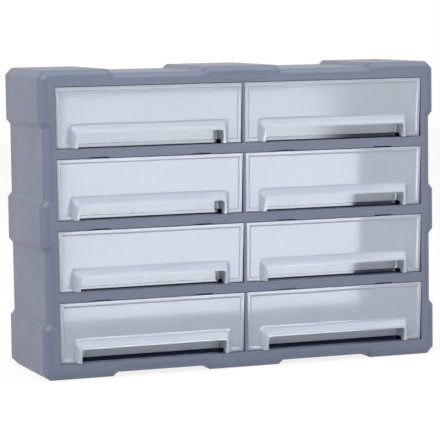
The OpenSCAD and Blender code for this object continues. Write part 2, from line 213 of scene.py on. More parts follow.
class Shell:
    """Points and faces of one closed skin, gathered ring by ring."""

    def __init__(self) -> None:
        """Starts with no points."""
        self.points: list[Vector] = []
        self.faces: list[tuple[int, ...]] = []

    def ring(self, points: Iterable[Sequence[float]]) -> list[int]:
        """Adds points and returns their numbers."""
        first = len(self.points)
        self.points.extend(Vector(point) for point in points)
        return list(range(first, len(self.points)))

    def upright(self, loop: Loop, y: float) -> list[int]:
        """Adds a loop seen from the front, at a depth, and returns its numbers."""
        return self.ring((x, y, z) for x, z in loop)

    def flat(self, loop: Loop, z: float) -> list[int]:
        """Adds a loop seen from above, at a height, and returns its numbers."""
        return self.ring((x, y, z) for x, y in loop)

    def band(self, first: list[int], second: list[int]) -> None:
        """Joins two rings of as many points with a closed band of quads."""
        for here, there in zip(range(len(first)), [*range(1, len(first)), 0]):
            self.faces.append((first[here], first[there], second[there], second[here]))

    def bands(self, rings: list[list[int]]) -> None:
        """Joins each ring to the next one."""
        for first, second in zip(rings, rings[1:]):
            self.band(first, second)

    def fill(self, outer: list[int], holes: Sequence[list[int]] = ()) -> None:
        """Fills a flat ring, leaving its holes open."""
        numbers = [number for ring in (outer, *holes) for number in ring]
        rings = [[self.points[number] for number in ring] for ring in (outer, *holes)]
        for triangle in tessellate_polygon(rings):
            self.faces.append(tuple(numbers[corner] for corner in triangle))

    def closed(self, rings: list[list[int]]) -> None:
        """Joins each ring to the next one and fills both ends."""
        self.bands(rings)
        self.fill(rings[0])
        self.fill(rings[-1])

    def solid(self, name: str, rings: list[list[int]] | None = None) -> Object:
        """Shows the skin as an object.

        Args:
            name: Name of the object and its mesh.
            rings: Rings that are joined and filled at both ends first.

        Returns:
            The object, its faces outwards.
        """
        if rings:
            self.closed(rings)
        mesh = new_mesh(name, self.points, self.faces)
        tidy_mesh(mesh)
        return new_object(name, mesh)


def settled(made: Object) -> Object:
    """Turns an object's modifiers into plain mesh and removes them.

    Args:
        made: The object.

    Returns:
        The same object.
    """
    bpy.context.view_layer.update()
    seen = made.evaluated_get(bpy.context.evaluated_depsgraph_get())
    mesh = bpy.data.meshes.new_from_object(seen)
    made.modifiers.clear()
    made.data = mesh
    return made


def taken(made: Object) -> Mesh:
    """Removes an object and returns its mesh."""
    mesh = made.data
    bpy.data.objects.remove(made)
    return mesh


def combined(base: Object, others: Sequence[Object], operation: str) -> Object:
    """Joins closed solids to a base, or cuts them from it, and removes them.

    Args:
        base: The solid that stays.
        others: The solids that are joined or cut.
        operation: UNION or DIFFERENCE.

    Returns:
        The base, with a plain mesh.
    """
    for other in others:
        change = base.modifiers.new(operation.lower(), "BOOLEAN")
        change.operation = operation
        change.solver = "EXACT"
        change.object = other
    settled(base)
    for other in others:
        bpy.data.objects.remove(other)
    return base


def soften_edges(made: Object, width: float, steps: int = 3) -> None:
    """Adds small moulded radii to an object's sharp edges.

    Args:
        made: The object.
        width: Width of a radius.
        steps: Flats in each radius.
    """
    bevel = made.modifiers.new("moulded radius", "BEVEL")
    bevel.width = width
    bevel.segments = steps
    bevel.limit_method = "ANGLE"
    bevel.angle_limit = math.radians(SOFTENED_DEG)
    bevel.miter_outer = "MITER_ARC"


def flatten_shading(made: Object) -> None:
    """Keeps large flat faces evenly shaded beside small radii."""
    made.modifiers.new("flat faces", "WEIGHTED_NORMAL").keep_sharp = True


def dress(made: Object, finish: Material, slot: Slot, body: str, *nodes: str) -> None:
    """Gives a finished piece its material, its body and the frame nodes it stands for.

    Args:
        made: The piece.
        finish: Its material.
        slot: The record's slot for that finish; not used.
        body: The body that it moves with.
        nodes: The frame nodes that it replaces.
    """
    made.data.materials.clear()
    made.data.materials.append(finish)
    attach(made, body)
    if nodes:
        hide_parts(*nodes)
    log.info("%s rides on %s with %d faces", made.name, body, len(made.data.polygons))


# ---------------------------------------------------------------- shared places


@dataclass(frozen=True)
class Layout:
    """Places that the sub-assemblies share, taken from the frame."""

    width: float
    height: float
    front_y: float
    rear_y: float
    end_rail: float = 0.020
    mid_rail: float = 0.012
    stile: float = 0.019
    mullion: float = 0.003
    gap_under: float = 0.0004

    @classmethod
    def from_frame(cls) -> "Layout":
        """Reads the overall sizes from the outer case and the front frame."""
        low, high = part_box("outer_case")
        return cls(high.x - low.x, high.z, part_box("front_frame")[0].y, high.y)

    @property
    def window_w(self) -> float:
        """Width of a drawer window."""
        return (self.width - 2 * self.stile - self.mullion) / 2

    @property
    def window_h(self) -> float:
        """Height of a drawer window."""
        rails = 2 * self.end_rail + (len(Row) - 1) * self.mid_rail
        return (self.height - rails) / len(Row)

    def middle_x(self, column: Column) -> float:
        """Middle of a column."""
        return column.value * (self.window_w + self.mullion) / 2

    def sill_z(self, row: Row) -> float:
        """Height of a row's sill."""
        return self.end_rail + row.value * (self.window_h + self.mid_rail)


@dataclass(frozen=True)
class SteppedOutline:
    """Outline of the cabinet seen from the front: raised pads, recessed bands and bevelled corners."""

    width: float
    height: float
    bevel: float = 0.0085
    pad_step: float = 0.005
    pad_slope: float = 0.006
    corner_pad_w: float = 0.088
    centre_pad_w: float = 0.092
    corner_pad_h: float = 0.064
    centre_pad_h: float = 0.052
    corner_radius: float = 0.0022
    corner_steps: int = 4

    def edge(self, length: float, corner_pad: float, centre_pad: float) -> list[Point]:
        """Finds one edge from one bevel to the other.

        Args:
            length: Its length with the bevels.
            corner_pad: Length of a corner's raised pad.
            centre_pad: Length of the middle pad.

        Returns:
            Distances along the edge and in from it.
        """
        half = [
            (-length / 2 + self.bevel, 0.0),
            (-length / 2 + corner_pad, 0.0),
            (-length / 2 + corner_pad + self.pad_slope, self.pad_step),
            (-centre_pad / 2 - self.pad_slope, self.pad_step),
            (-centre_pad / 2, 0.0),
        ]
        return half + [(-along, inwards) for along, inwards in reversed(half)]

    def corners(self) -> Loop:
        """Returns the sharp corners of the whole outline."""
        across = self.edge(self.width, self.corner_pad_w, self.centre_pad_w)
        up = self.edge(self.height, self.corner_pad_h, self.centre_pad_h)
        right, middle = self.width / 2, self.height / 2
        side = [(right - inwards, middle + along) for along, inwards in up]
        top = [(-along, self.height - inwards) for along, inwards in across]
        left = [(inwards - right, middle - along) for along, inwards in up]
        return across + side + top + left

    def at(self, inset: float) -> Loop:
        """Returns the rounded outline, drawn in by an inset."""
        return round_loop(offset_loop(self.corners(), -inset), self.corner_radius, self.corner_steps, -inset)


# ---------------------------------------------------------------- node trees


class Wiring:
    """Adds nodes to a tree. An input takes a plain value, a colour or another node's output."""

    def __init__(self, tree: bpy.types.NodeTree) -> None:
        """Keeps the tree that the nodes go to."""
        self.tree = tree

    def feed(self, node: bpy.types.Node, inputs: Inputs) -> None:
        """Sets a node's inputs.

        Args:
            node: The node.
            inputs: What its inputs take, by name or number; an output is linked.
        """
        for label, value in inputs.items():
            socket = node.inputs[label]
            if isinstance(value, Socket):
                self.tree.links.new(value, socket)
            else:
                socket.default_value = (*value, 1.0) if socket.type == "RGBA" else value

    def add(self, kind: str, inputs: Inputs | None = None, **settings: object) -> bpy.types.Node:
        """Adds a node.

        Args:
            kind: Its type.
            inputs: What its inputs take, by name or number.
            settings: Its other settings, which come first.

        Returns:
            The node.
        """
        node = self.tree.nodes.new(kind)
        for label, value in settings.items():
            setattr(node, label, value)
        self.feed(node, inputs or {})
        return node

    def math(self, operation: str, *values: object) -> Socket:
        """Adds a sum on values or outputs and returns its result."""
        return self.add("ShaderNodeMath", dict(enumerate(values)), operation=operation).outputs[0]

    def mixed(self, kind: str, share: object, first: object, second: object) -> Socket:
        """Adds a mix of two numbers (FLOAT) or two colours (RGBA) and returns its result."""
        inputs = {"Factor": share, "A": first, "B": second}
        return self.add("ShaderNodeMix", inputs, data_type=kind).outputs["Result"]

    def spread(self, value: Socket, kind: str = "LINEAR", **ends: object) -> Socket:
        """Adds a map from one range to another.

        Args:
            value: What is mapped.
            kind: LINEAR or SMOOTHSTEP.
            ends: The ends from_min, from_max, to_min and to_max, where they aren't 0 and 1.

        Returns:
            The mapped value.
        """
        inputs = {label.replace("_", " ").title(): end for label, end in ends.items()}
        mapped = self.add("ShaderNodeMapRange", {"Value": value, **inputs}, interpolation_type=kind)
        return mapped.outputs["Result"]

    def axes(self) -> bpy.types.NodeOutputs:
        """Adds the piece's own coordinates and returns them one by one."""
        place = self.add("ShaderNodeTexCoord").outputs["Object"]
        return self.add("ShaderNodeSeparateXYZ", {0: place}).outputs

    def seen(self) -> Socket:
        """Adds nodes that give 1 for camera, mirrored and see-through rays, and returns the result."""
        path = self.add("ShaderNodeLightPath").outputs
        total = self.math("MAXIMUM", path["Is Camera Ray"], path["Is Glossy Ray"])
        return self.math("MAXIMUM", total, path["Is Transmission Ray"])


class PieceTree(Wiring):
    """A Geometry Nodes tree with named inputs that ends in real, painted faces."""

    def __init__(self, name: str, inputs: Mapping[str, str]) -> None:
        """Makes the tree and its sockets.

        Args:
            name: Name of the tree.
            inputs: Kind of each named input but the geometry and the finish.
        """
        super().__init__(bpy.data.node_groups.new(name, "GeometryNodeTree"))
        sockets, self.keys = self.tree.interface, {}
        for label, kind in {"Geometry": "Geometry", **inputs, "Finish": "Material"}.items():
            socket = sockets.new_socket(label, in_out="INPUT", socket_type=f"NodeSocket{kind}")
            self.keys[label] = socket.identifier
        sockets.new_socket("Geometry", in_out="OUTPUT", socket_type="NodeSocketGeometry")
        self.given = self.add("NodeGroupInput").outputs

    def end(self, geometry: Socket) -> None:
        """Makes the geometry real, paints it and gives it out."""
        real = self.add("GeometryNodeRealizeInstances", {"Geometry": geometry})
        inputs = {"Geometry": real.outputs[0], "Material": self.given["Finish"]}
        painted = self.add("GeometryNodeSetMaterial", inputs)
        self.add("NodeGroupOutput", {"Geometry": painted.outputs[0]})

    def run(self, made: Object, **values: object) -> Object:
        """Runs the tree on an object.

        Args:
            made: The object, whose mesh the tree starts from.
            values: The tree's named inputs.

        Returns:
            The object, with a plain mesh.
        """
        nodes = made.modifiers.new("tree", "NODES")
        nodes.node_group = self.tree
        for label, value in values.items():
            nodes[self.keys[label.capitalize()]] = value
        return settled(made)


class Repeat(PieceTree):
    """Sets a copy of a part on every point, turned as the point says."""

    TURN = "turn"

    def __init__(self) -> None:
        """Builds the tree."""
        super().__init__("part on every point", {"Part": "Object"})
        part = self.add("GeometryNodeObjectInfo", {"Object": self.given["Part"]})
        turn = self.add("GeometryNodeInputNamedAttribute", {"Name": self.TURN}, data_type="FLOAT_VECTOR")
        inputs = {
            "Points": self.given["Geometry"],
            "Instance": part.outputs["Geometry"],
            "Rotation": turn.outputs["Attribute"],
        }
        self.end(self.add("GeometryNodeInstanceOnPoints", inputs).outputs["Instances"])

    def make(self, name: str, part: Object, spots: Spots, finish: Material) -> Object:
        """Sets a part on every spot and removes the part.

        Args:
            name: Name of the new object.
            part: The part, about its own origin.
            spots: Place and turn, in radians about X, Y and Z, of each copy.
            finish: Material of the copies.

        Returns:
            The object, with a plain mesh.
        """
        points = new_mesh(name, [place for place, _ in spots])
        turns = points.attributes.new(self.TURN, "FLOAT_VECTOR", "POINT")
        turns.data.foreach_set("vector", [value for _, turn in spots for value in turn])
        made = self.run(new_object(name, points), part=part, finish=finish)
        bpy.data.objects.remove(part)
        return made


class Sweep(PieceTree):
    """Draws a flat ring straight back into a closed tube."""

    def __init__(self) -> None:
        """Builds the tree."""
        super().__init__("ring drawn back", {"Length": "Float"})
        ring = {"Mesh": self.given["Geometry"]}
        along = self.add("ShaderNodeCombineXYZ", {"Y": self.given["Length"]}).outputs["Vector"]
        way = {"Offset": along, "Offset Scale": 1.0, "Individual": False}
        drawn = self.add("GeometryNodeExtrudeMesh", {**ring, **way}, mode="FACES")
        turned = self.add("GeometryNodeFlipFaces", ring)
        joined = self.add("GeometryNodeJoinGeometry", {"Geometry": drawn.outputs["Mesh"]})
        self.feed(joined, {"Geometry": turned.outputs["Mesh"]})
        inputs = {"Geometry": joined.outputs["Geometry"], "Distance": WELD}
        self.end(self.add("GeometryNodeMergeByDistance", inputs).outputs["Geometry"])

    def make(self, name: str, ring: Mesh, length: float, finish: Material) -> Object:
        """Draws a flat ring back.

        Args:
            name: Name of the new object.
            ring: The flat ring.
            length: How far back it is drawn.
            finish: Material of the tube.

        Returns:
            The closed tube.
        """
        made = self.run(new_object(name, ring), length=length, finish=finish)
        tidy_mesh(made.data)
        return made


# ---------------------------------------------------------------- shader groups


class ShaderGroup(Wiring):
    """A shader node group with named inputs and outputs, built once and placed in materials."""

    def __init__(self, name: str, inputs: Mapping[str, float | Colour], outputs: Mapping[str, str]) -> None:
        """Makes the group and its sockets.

        Args:
            name: Name of the group.
            inputs: Default of each named input but Place: a number or a colour.
            outputs: Kind of each named output.
        """
        super().__init__(bpy.data.node_groups.new(name, "ShaderNodeTree"))
        sockets = self.tree.interface
        sockets.new_socket("Place", in_out="INPUT", socket_type="NodeSocketVector")
        for label, value in inputs.items():
            plain = isinstance(value, float)
            kind = "NodeSocketFloat" if plain else "NodeSocketColor"
            socket = sockets.new_socket(label, in_out="INPUT", socket_type=kind)
            socket.default_value = value if plain else (*value, 1.0)
        for label, kind in outputs.items():
            sockets.new_socket(label, in_out="OUTPUT", socket_type=f"NodeSocket{kind}")
        self.given = self.add("NodeGroupInput").outputs
        self.place = self.given["Place"]

    def noise(self, size: str, detail: float, **more: object) -> Socket:
        """Adds noise.

        Args:
            size: The group's input that gives the size of its patches.
            detail: Its detail.
            more: Its other inputs.

        Returns:
            The noise, from 0 to 1.
        """
        inputs = {"Vector": self.place, "Scale": self.math("DIVIDE", 1.0, self.given[size]), "Detail": detail}
        return self.add("ShaderNodeTexNoise", {**inputs, **more}).outputs["Fac"]


class MouldedGrain(ShaderGroup):
    """Fine matte grain of a moulded face over a faint long swell, as a height."""

    def __init__(self) -> None:
        """Builds the group."""
        sizes = {"Grain size": 0.0009, "Swell size": 0.05, "Swell share": 0.6}
        super().__init__("moulded grain", sizes, {"Height": "Float"})
        fine, wide = self.noise("Grain size", detail=2.0), self.noise("Swell size", detail=1.0)
        self.add("NodeGroupOutput", {"Height": self.mixed("FLOAT", self.given["Swell share"], fine, wide)})


class FlowMottle(ShaderGroup):
    """Faint cloudy change of tone where melted plastic flowed into the mould, drawn out sideways."""

    DRAWN_OUT = (0.45, 1.0, 1.0)

    def __init__(self) -> None:
        """Builds the group."""
        tones = {"Colour": (0.5, 0.5, 0.5), "Deep colour": (0.4, 0.4, 0.4)}
        sizes = {"Patch size": 0.06, "Amount": 0.5}
        super().__init__("flow mottle", {**tones, **sizes}, {"Colour": "Color", "Patches": "Float"})
        drawn = self.add("ShaderNodeVectorMath", {0: self.place, 1: self.DRAWN_OUT}, operation="MULTIPLY")
        cloud = self.noise("Patch size", detail=4.0, Vector=drawn.outputs[0], Roughness=0.6)
        patches = self.spread(cloud, from_min=0.35, from_max=0.65)
        weight = self.math("MULTIPLY", patches, self.given["Amount"])
        tone = self.mixed("RGBA", weight, self.given["Colour"], self.given["Deep colour"])
        self.add("NodeGroupOutput", {"Colour": tone, "Patches": patches})


class EdgeWear(ShaderGroup):
    """Mask of the rubbed edges, broken up so that no edge is worn all along."""

    def __init__(self) -> None:
        """Builds the group."""
        sizes = {"Start": 0.54, "Full": 0.66, "Break size": 0.012, "Amount": 0.4}
        super().__init__("edge wear", sizes, {"Mask": "Float"})
        curve = self.add("ShaderNodeNewGeometry").outputs["Pointiness"]
        edge = self.spread(curve, from_min=self.given["Start"], from_max=self.given["Full"])
        gaps = self.spread(self.noise("Break size", detail=3.0), from_min=0.38, from_max=0.62)
        mask = self.math("MULTIPLY", self.math("MULTIPLY", edge, gaps), self.given["Amount"])
        self.add("NodeGroupOutput", {"Mask": mask})


@dataclass
class Groups:
    """The shader groups that the finishes share."""

    grain: MouldedGrain = field(default_factory=MouldedGrain)
    mottle: FlowMottle = field(default_factory=FlowMottle)
    wear: EdgeWear = field(default_factory=EdgeWear)


# ---------------------------------------------------------------- finishes


class Paint(Wiring):
    """A new material and its nodes."""

    def __init__(self, name: str, values: Inputs | None = None) -> None:
        """Starts the material.

        Args:
            name: Its name.
            values: Inputs of its shader.
        """
        self.material = bpy.data.materials.new(name)
        self.material.use_nodes = True
        super().__init__(self.material.node_tree)
        self.shader = self.tree.nodes["Principled BSDF"]
        self.shine(values or {})

    def shine(self, values: Inputs) -> None:
        """Sets inputs of the material's shader."""
        self.feed(self.shader, values)

    def show(self, shader: bpy.types.Node) -> Material:
        """Shows another shader in place of the material's own, and returns the material."""
        self.tree.nodes.remove(self.shader)
        self.feed(self.tree.nodes["Material Output"], {"Surface": shader.outputs[0]})
        return self.material


class Surface(Paint):
    """A material that takes its tones and its grain from the shared groups."""

    def __init__(self, name: str, groups: Groups, values: Inputs) -> None:
        """Starts the material.

        Args:
            name: Its name.
            groups: The shared groups.
            values: Inputs of its shader.
        """
        super().__init__(name, values)
        self.groups = groups
        self.place = self.add("ShaderNodeTexCoord").outputs["Object"]

    def group(self, group: ShaderGroup, **values: object) -> bpy.types.NodeOutputs:
        """Places a shared group with its own values, and returns its outputs."""
        inputs = {label.replace("_", " ").capitalize(): value for label, value in values.items()}
        return self.add("ShaderNodeGroup", {"Place": self.place, **inputs}, node_tree=group.tree).outputs

    def relief(self, height: float, **values: float) -> None:
        """Gives the surface a grain of a height, with the grain group's values."""
        grain = self.group(self.groups.grain, **values)
        bump = self.add("ShaderNodeBump", {"Distance": height, "Height": grain["Height"]})
        self.shine({"Normal": bump.outputs["Normal"]})


@dataclass(frozen=True)
class Finish:
    """What every finish has: two tones in soft clouds, and a roughness that follows them."""

    name: str
    colour: Colour
    deep: Colour
    mottle: float = 0.5
    patch: float = 0.06
    roughness: float = 0.42
    roughness_spread: float = 0.06

    def clouded(self, groups: Groups, values: Inputs) -> tuple[Surface, Socket]:
        """Starts the material.

        Args:
            groups: The shared groups.
            values: Further inputs of its shader.

        Returns:
            The material's nodes, and its tone.
        """
        surface = Surface(self.name, groups, values)
        tones = {"colour": self.colour, "deep_colour": self.deep}
        clouds = surface.group(groups.mottle, patch_size=self.patch, amount=self.mottle, **tones)
        ends = {"to_min": self.roughness, "to_max": self.roughness + self.roughness_spread}
        surface.shine({"Base Color": clouds["Colour"], "Roughness": surface.spread(clouds["Patches"], **ends)})
        return surface, clouds["Colour"]


@dataclass(frozen=True, kw_only=True)
class MouldedPlastic(Finish):
    """An injection-moulded plastic with fine grain, rubbed edges and, where asked for, a polished part."""

    worn: Colour
    wear: float = 0.35
    ior: float = 1.49
    specular: float = 0.5
    grain: float = 0.0009
    grain_height: float = 0.00002
    swell: float = 0.05
    swell_share: float = 0.5
    glow_through: float = 0.0
    glow_reach: float = 0.006
    polish: float = 0.0
    polish_roughness: float = 0.07
    polish_behind: float = 0.0
    polish_blend: float = 0.002

    def polished(self, surface: Surface) -> None:
        """Gives the surface a brighter polish behind a plane across Y, on the pocket and the tub."""
        start, end = self.polish_behind, self.polish_behind + self.polish_blend
        share = surface.spread(surface.axes()["Y"], from_min=start, from_max=end, to_max=self.polish)
        surface.shine({"Coat Roughness": self.polish_roughness, "Coat Weight": share})

    def build(self, groups: Groups) -> Material:
        """Builds the material.

        Args:
            groups: The shared groups.

        Returns:
            The material.
        """
        values = {
            "IOR": self.ior,
            "Specular IOR Level": self.specular,
            "Subsurface Weight": self.glow_through,
            "Subsurface Radius": (1.0, 1.0, 1.0),
            "Subsurface Scale": self.glow_reach,
        }
        surface, tone = self.clouded(groups, values)
        rubbed = surface.group(groups.wear, amount=self.wear)["Mask"]
        surface.shine({"Base Color": surface.mixed("RGBA", rubbed, tone, self.worn)})
        surface.relief(self.grain_height, grain_size=self.grain, swell_size=self.swell, swell_share=self.swell_share)
        if self.polish:
            self.polished(surface)
        return surface.material


@dataclass(frozen=True, kw_only=True)
class GlossyPaintedShade(Finish):
    """A glossy, partly see-through finish whose near-black navy colour is painted shade: the dark gap under a
    drawer's pocket.
    """

    ior: float = 1.50
    specular: float = 1.0
    see_through: float = 0.2

    def build(self, groups: Groups) -> Material:
        """Builds the material from the shared groups and returns it."""
        values = {"IOR": self.ior, "Specular IOR Level": self.specular, "Transmission Weight": self.see_through}
        return self.clouded(groups, values)[0].material


@dataclass(frozen=True, kw_only=True)
class PlatedSteel(Finish):
    """Zinc-plated steel of the screws, with faint marks from the driver."""

    mark: float = 0.0007
    mark_height: float = 0.00001
    swell_share: float = 0.1

    def build(self, groups: Groups) -> Material:
        """Builds the material from the shared groups and returns it."""
        surface, _ = self.clouded(groups, {"Metallic": 1.0})
        surface.relief(self.mark_height, grain_size=self.mark, swell_share=self.swell_share)
        return surface.material


FRAME_PLASTIC = MouldedPlastic(
    "frame_plastic", (0.140, 0.165, 0.232), (0.129, 0.152, 0.216), worn=(0.187, 0.213, 0.28)
)
CASE_PLASTIC = MouldedPlastic(
    "case_plastic", (0.152, 0.171, 0.233), (0.138, 0.156, 0.216), worn=(0.20, 0.218, 0.282)
)
PANEL_PLASTIC = MouldedPlastic(
    "panel_plastic", (0.140, 0.155, 0.215), (0.125, 0.140, 0.196), worn=(0.19, 0.20, 0.265), roughness=0.5
)
DRAWER_PLASTIC = MouldedPlastic(
    "drawer_plastic",
    (0.425, 0.455, 0.515),
    (0.395, 0.425, 0.485),
    worn=(0.50, 0.53, 0.59),
    mottle=0.6,
    wear=0.2,
    roughness=0.07,
    roughness_spread=0.05,
    grain=0.004,
    grain_height=0.0000015,
    swell=0.12,
    swell_share=0.9,
    specular=0.4,
    glow_through=1.0,
    glow_reach=0.008,
    polish=0.55,
    polish_behind=-0.0688,
)
# Near-black navy of the strips under the pockets: painted shade of the dark gap there. Only the gloss that mirrors
# the soft box belongs to the plastic.
SKIRT_PAINTED_SHADE = GlossyPaintedShade(
    "drawer_clear_plastic",
    (0.010, 0.016, 0.050),
    (0.007, 0.011, 0.036),
    mottle=0.6,
    patch=0.03,
    roughness=0.04,
    roughness_spread=0.03,
)
SCREW_STEEL = PlatedSteel(
    "screw_steel",
    (0.62, 0.63, 0.65),
    (0.42, 0.43, 0.46),
    mottle=0.8,
    patch=0.0028,
    roughness=0.28,
    roughness_spread=0.22,
)


# ---------------------------------------------------------------- front frame


@dataclass
class FrontFrame:
    """The moulding round the drawers: a rounded stepped edge, a flat face and eight windows."""

    layout: Layout
    outline: SteppedOutline
    round_r: float = 0.011
    wall: float = 0.003
    depth: float = 0.016
    round_steps: int = 9
    seam: float = 0.0005
    seam_edge: float = 0.0004
    edge_share: float = 0.3
    lip_in: float = 0.00315
    lip_t: float = 0.002
    window_wall: float = 0.0024
    window_edge: float = 0.0006
    window_steps: int = 3
    notch_x: float = 0.066
    notch_w: float = 0.023
    notch_h: float = 0.0012
    badge_w: float = 0.088
    badge_h: float = 0.013
    badge_edge: float = 0.0005
    badge_rise: float = 0.0003
    badge_deep: float = 0.001
    badge_steps: int = 36
    sink_w: float = 0.062
    sink_h: float = 0.0095
    sink_d: float = 0.0006
    sink_lip: float = 0.8

    def window(self, column: Column, row: Row, grown: float = 0.0) -> Loop:
        """Finds a window's outline, with the notches in its top edge.

        Args:
            column: Its column.
            row: Its row; the top row has no notches.
            grown: How far the outline is moved outwards.

        Returns:
            The corners.
        """
        middle, sill = self.layout.middle_x(column), self.layout.sill_z(row)
        left, right = middle - self.layout.window_w / 2, middle + self.layout.window_w / 2
        top = sill + self.layout.window_h
        loop = [(left, sill), (right, sill), (right, top)]
        rise = top + self.notch_h
        for end in (1, -1) if row is not Row.TOP else ():
            centre = middle + end * self.notch_x
            near, far = centre + self.notch_w / 2, centre - self.notch_w / 2
            loop += [(near, top), (near, rise), (far, rise), (far, top)]
        loop.append((left, top))
        return offset_loop(loop, grown)

    def box(self, row: Row) -> Loop:
        """Returns the outline of the walls round a row's two windows, behind the face."""
        sill = self.layout.sill_z(row)
        half = (self.layout.mullion / 2 + self.layout.window_w) + self.window_wall
        return rectangle(-half, half, sill - self.window_wall, sill + self.layout.window_h + self.window_wall)

    def edge_section(self) -> list[Point]:
        """Returns the section of the rounded edge, from the face to the lip and back, as inset and depth."""
        outer = [
            (self.round_r * (1 - up), self.round_r * back)
            for back, up in quarter(self.round_steps)
            if self.round_r * back < self.round_r - self.seam - self.seam_edge
        ]
        rear = self.round_r - self.seam
        lip = [
            (0.0, rear - self.seam_edge),
            (self.edge_share * self.seam_edge, rear - self.edge_share * self.seam_edge),
            (self.seam_edge, rear),
            (self.lip_in, rear),
            (self.lip_in, self.depth),
            (self.lip_in + self.lip_t, self.depth),
        ]
        inner_r = self.round_r - self.wall
        inner = [
            (self.wall + inner_r * (1 - up), self.wall + inner_r * back)
            for back, up in quarter(self.round_steps)
            if self.wall + inner_r * (1 - up) > self.lip_in + self.lip_t
        ]
        return outer + lip + list(reversed(inner))

    def skin(self) -> Object:
        """Builds the frame without the oval and returns it."""
        shell, front = Shell(), self.layout.front_y
        rings = [shell.upright(self.outline.at(inset), front + deep) for inset, deep in self.edge_section()]
        shell.bands(rings)
        face_holes, rear_holes = [], []
        for row in Row:
            row_back = shell.upright(self.box(row), front + self.depth)
            row_front = shell.upright(self.box(row), front + self.wall)
            shell.band(row_back, row_front)
            rear_holes.append(row_front)
            openings = []
            for column in Column:
                rims = [
                    shell.upright(
                        self.window(column, row, self.window_edge * (1 - round_in)),
                        front + self.window_edge * round_back,
                    )
                    for round_back, round_in in quarter(self.window_steps)
                ]
                rims.append(shell.upright(self.window(column, row), front + self.depth))
                shell.bands(rims)
                face_holes.append(rims[0])
                openings.append(rims[-1])
            shell.fill(row_back, openings)
        shell.fill(rings[0], face_holes)
        shell.fill(rings[-1], rear_holes)
        return shell.solid("front_frame_moulding")

    def oval(self, width: float, height: float, section: Sequence[Point]) -> Object:
        """Builds a pointed oval on the top rail.

        Args:
            width: Its width.
            height: Its height.
            section: Insets and depths of its rings, from the front back.

        Returns:
            The closed solid.
        """
        layout, steps = self.layout, self.badge_steps
        middle = layout.height - layout.end_rail / 2 - (layout.end_rail - self.badge_h) / 4
        arc = ((width / 2) ** 2 + (height / 2) ** 2) / height
        sweep = math.asin(width / 2 / arc)
        loop: Loop = []
        for side in (-1, 1):
            for step in range(steps):
                turn = sweep * (2 * step / steps - 1) * -side
                loop.append((arc * math.sin(turn), side * (arc * math.cos(turn) - (arc - height / 2))))
        shell, rings = Shell(), []
        for inset, deep in section:
            across, up = (width - 2 * inset) / width, (height - 2 * inset) / height
            points = [(x * across, middle + z * up) for x, z in loop]
            rings.append(shell.upright(points, layout.front_y + deep))
        return shell.solid("oval", rings)

    def build(self, finish: Material) -> None:
        """Builds, finishes and dresses the frame.

        Args:
            finish: The frame's plastic.
        """
        made = self.skin()
        edge, rise, near = self.badge_edge, self.badge_rise, self.edge_share * self.badge_edge
        raised = [(edge, -rise), (near, near - rise), (0.0, edge - rise), (0.0, self.wall + self.badge_deep)]
        sunk = [(-edge, -edge - rise), (0.0, -self.sink_lip * rise), (near, self.sink_d - rise)]
        combined(made, [self.oval(self.badge_w, self.badge_h, raised)], "UNION")
        combined(made, [self.oval(self.sink_w, self.sink_h, sunk)], "DIFFERENCE")
        tidy_mesh(made.data)
        flatten_shading(made)
        dress(made, finish, Slot.FRONT, CABINET, "front_frame")


# ---------------------------------------------------------------- outer case


@dataclass
class OuterCase:
    """The open tube behind the front frame, with the posts that take the back's screws."""

    layout: Layout
    outline: SteppedOutline
    start: float = 0.011
    wall: float = 0.003
    edge: float = 0.0005
    post_r: float = 0.00375
    bore_r: float = 0.0016
    post_l: float = 0.024
    post_rear: float = 0.0045
    web_t: float = 0.0025
    web_root: float = 0.75
    web_sunk: float = 0.6
    screw_in: float = 0.0095
    flats: int = 40

    def screw_spots(self, deep: float) -> Spots:
        """Places the screws.

        Args:
            deep: Distance in from the rear edge.

        Returns:
            Place and turn of each screw.
        """
        low, top, side = self.outline.corner_pad_h / 2, self.layout.height, self.layout.width / 2 - self.screw_in
        heights = (low, top / 2, top - low)
        spots = [(side, z, 0.0) for z in heights] + [(-side, z, math.pi) for z in heights]
        spots += [(0.0, self.screw_in, math.pi / 2), (0.0, top - self.screw_in, -math.pi / 2)]
        y = self.layout.rear_y - deep
        return [(Vector((x, y, z)), Vector((0.0, turn, 0.0))) for x, z, turn in spots]

    def ring(self) -> Mesh:
        """Builds the flat ring that is drawn back into the case, and returns it."""
        shell, y = Shell(), self.layout.front_y + self.start
        outer, inner = (shell.upright(self.outline.at(inset), y) for inset in (0.0, self.wall))
        shell.fill(outer, [inner])
        return new_mesh("case_ring", shell.points, shell.faces)

    def post(self) -> Object:
        """Builds one bored post with its web to the wall, along -Y from its rear end, and returns it."""
        shell, web = Shell(), Shell()
        section = [
            (self.bore_r, 0.0),
            (self.post_r - self.edge, 0.0),
            (self.post_r, self.edge),
            (self.post_r, self.post_l - self.edge),
            (self.post_r - self.edge, self.post_l),
            (self.bore_r, self.post_l),
        ]
        rings = [shell.upright(circle(radius, self.flats), -deep) for radius, deep in section]
        shell.bands([*rings, rings[0]])
        reach, half = self.screw_in - self.wall * self.web_sunk, self.web_t / 2
        outline = rectangle(self.post_r * self.web_root, reach, -half, half)
        ends = [web.upright(outline, y) for y in (-self.edge, self.edge - self.post_l)]
        return combined(shell.solid("post"), [web.solid("web", ends)], "UNION")

    def build(self, finish: Material, sweep: Sweep, repeat: Repeat) -> None:
        """Builds the case and its posts and dresses them.

        Args:
            finish: The case's plastic.
            sweep: The tree that draws a ring back.
            repeat: The tree that repeats a part.
        """
        length = self.layout.rear_y - self.layout.front_y - self.start
        case = sweep.make("outer_case_tube", self.ring(), length, finish)
        soften_edges(case, self.edge)
        flatten_shading(case)
        dress(case, finish, Slot.CASE, CABINET, "outer_case")
        posts = repeat.make("outer_case_posts", self.post(), self.screw_spots(self.post_rear), finish)
        dress(posts, finish, Slot.CASE, CABINET, "outer_case")


# ---------------------------------------------------------------- panels and back


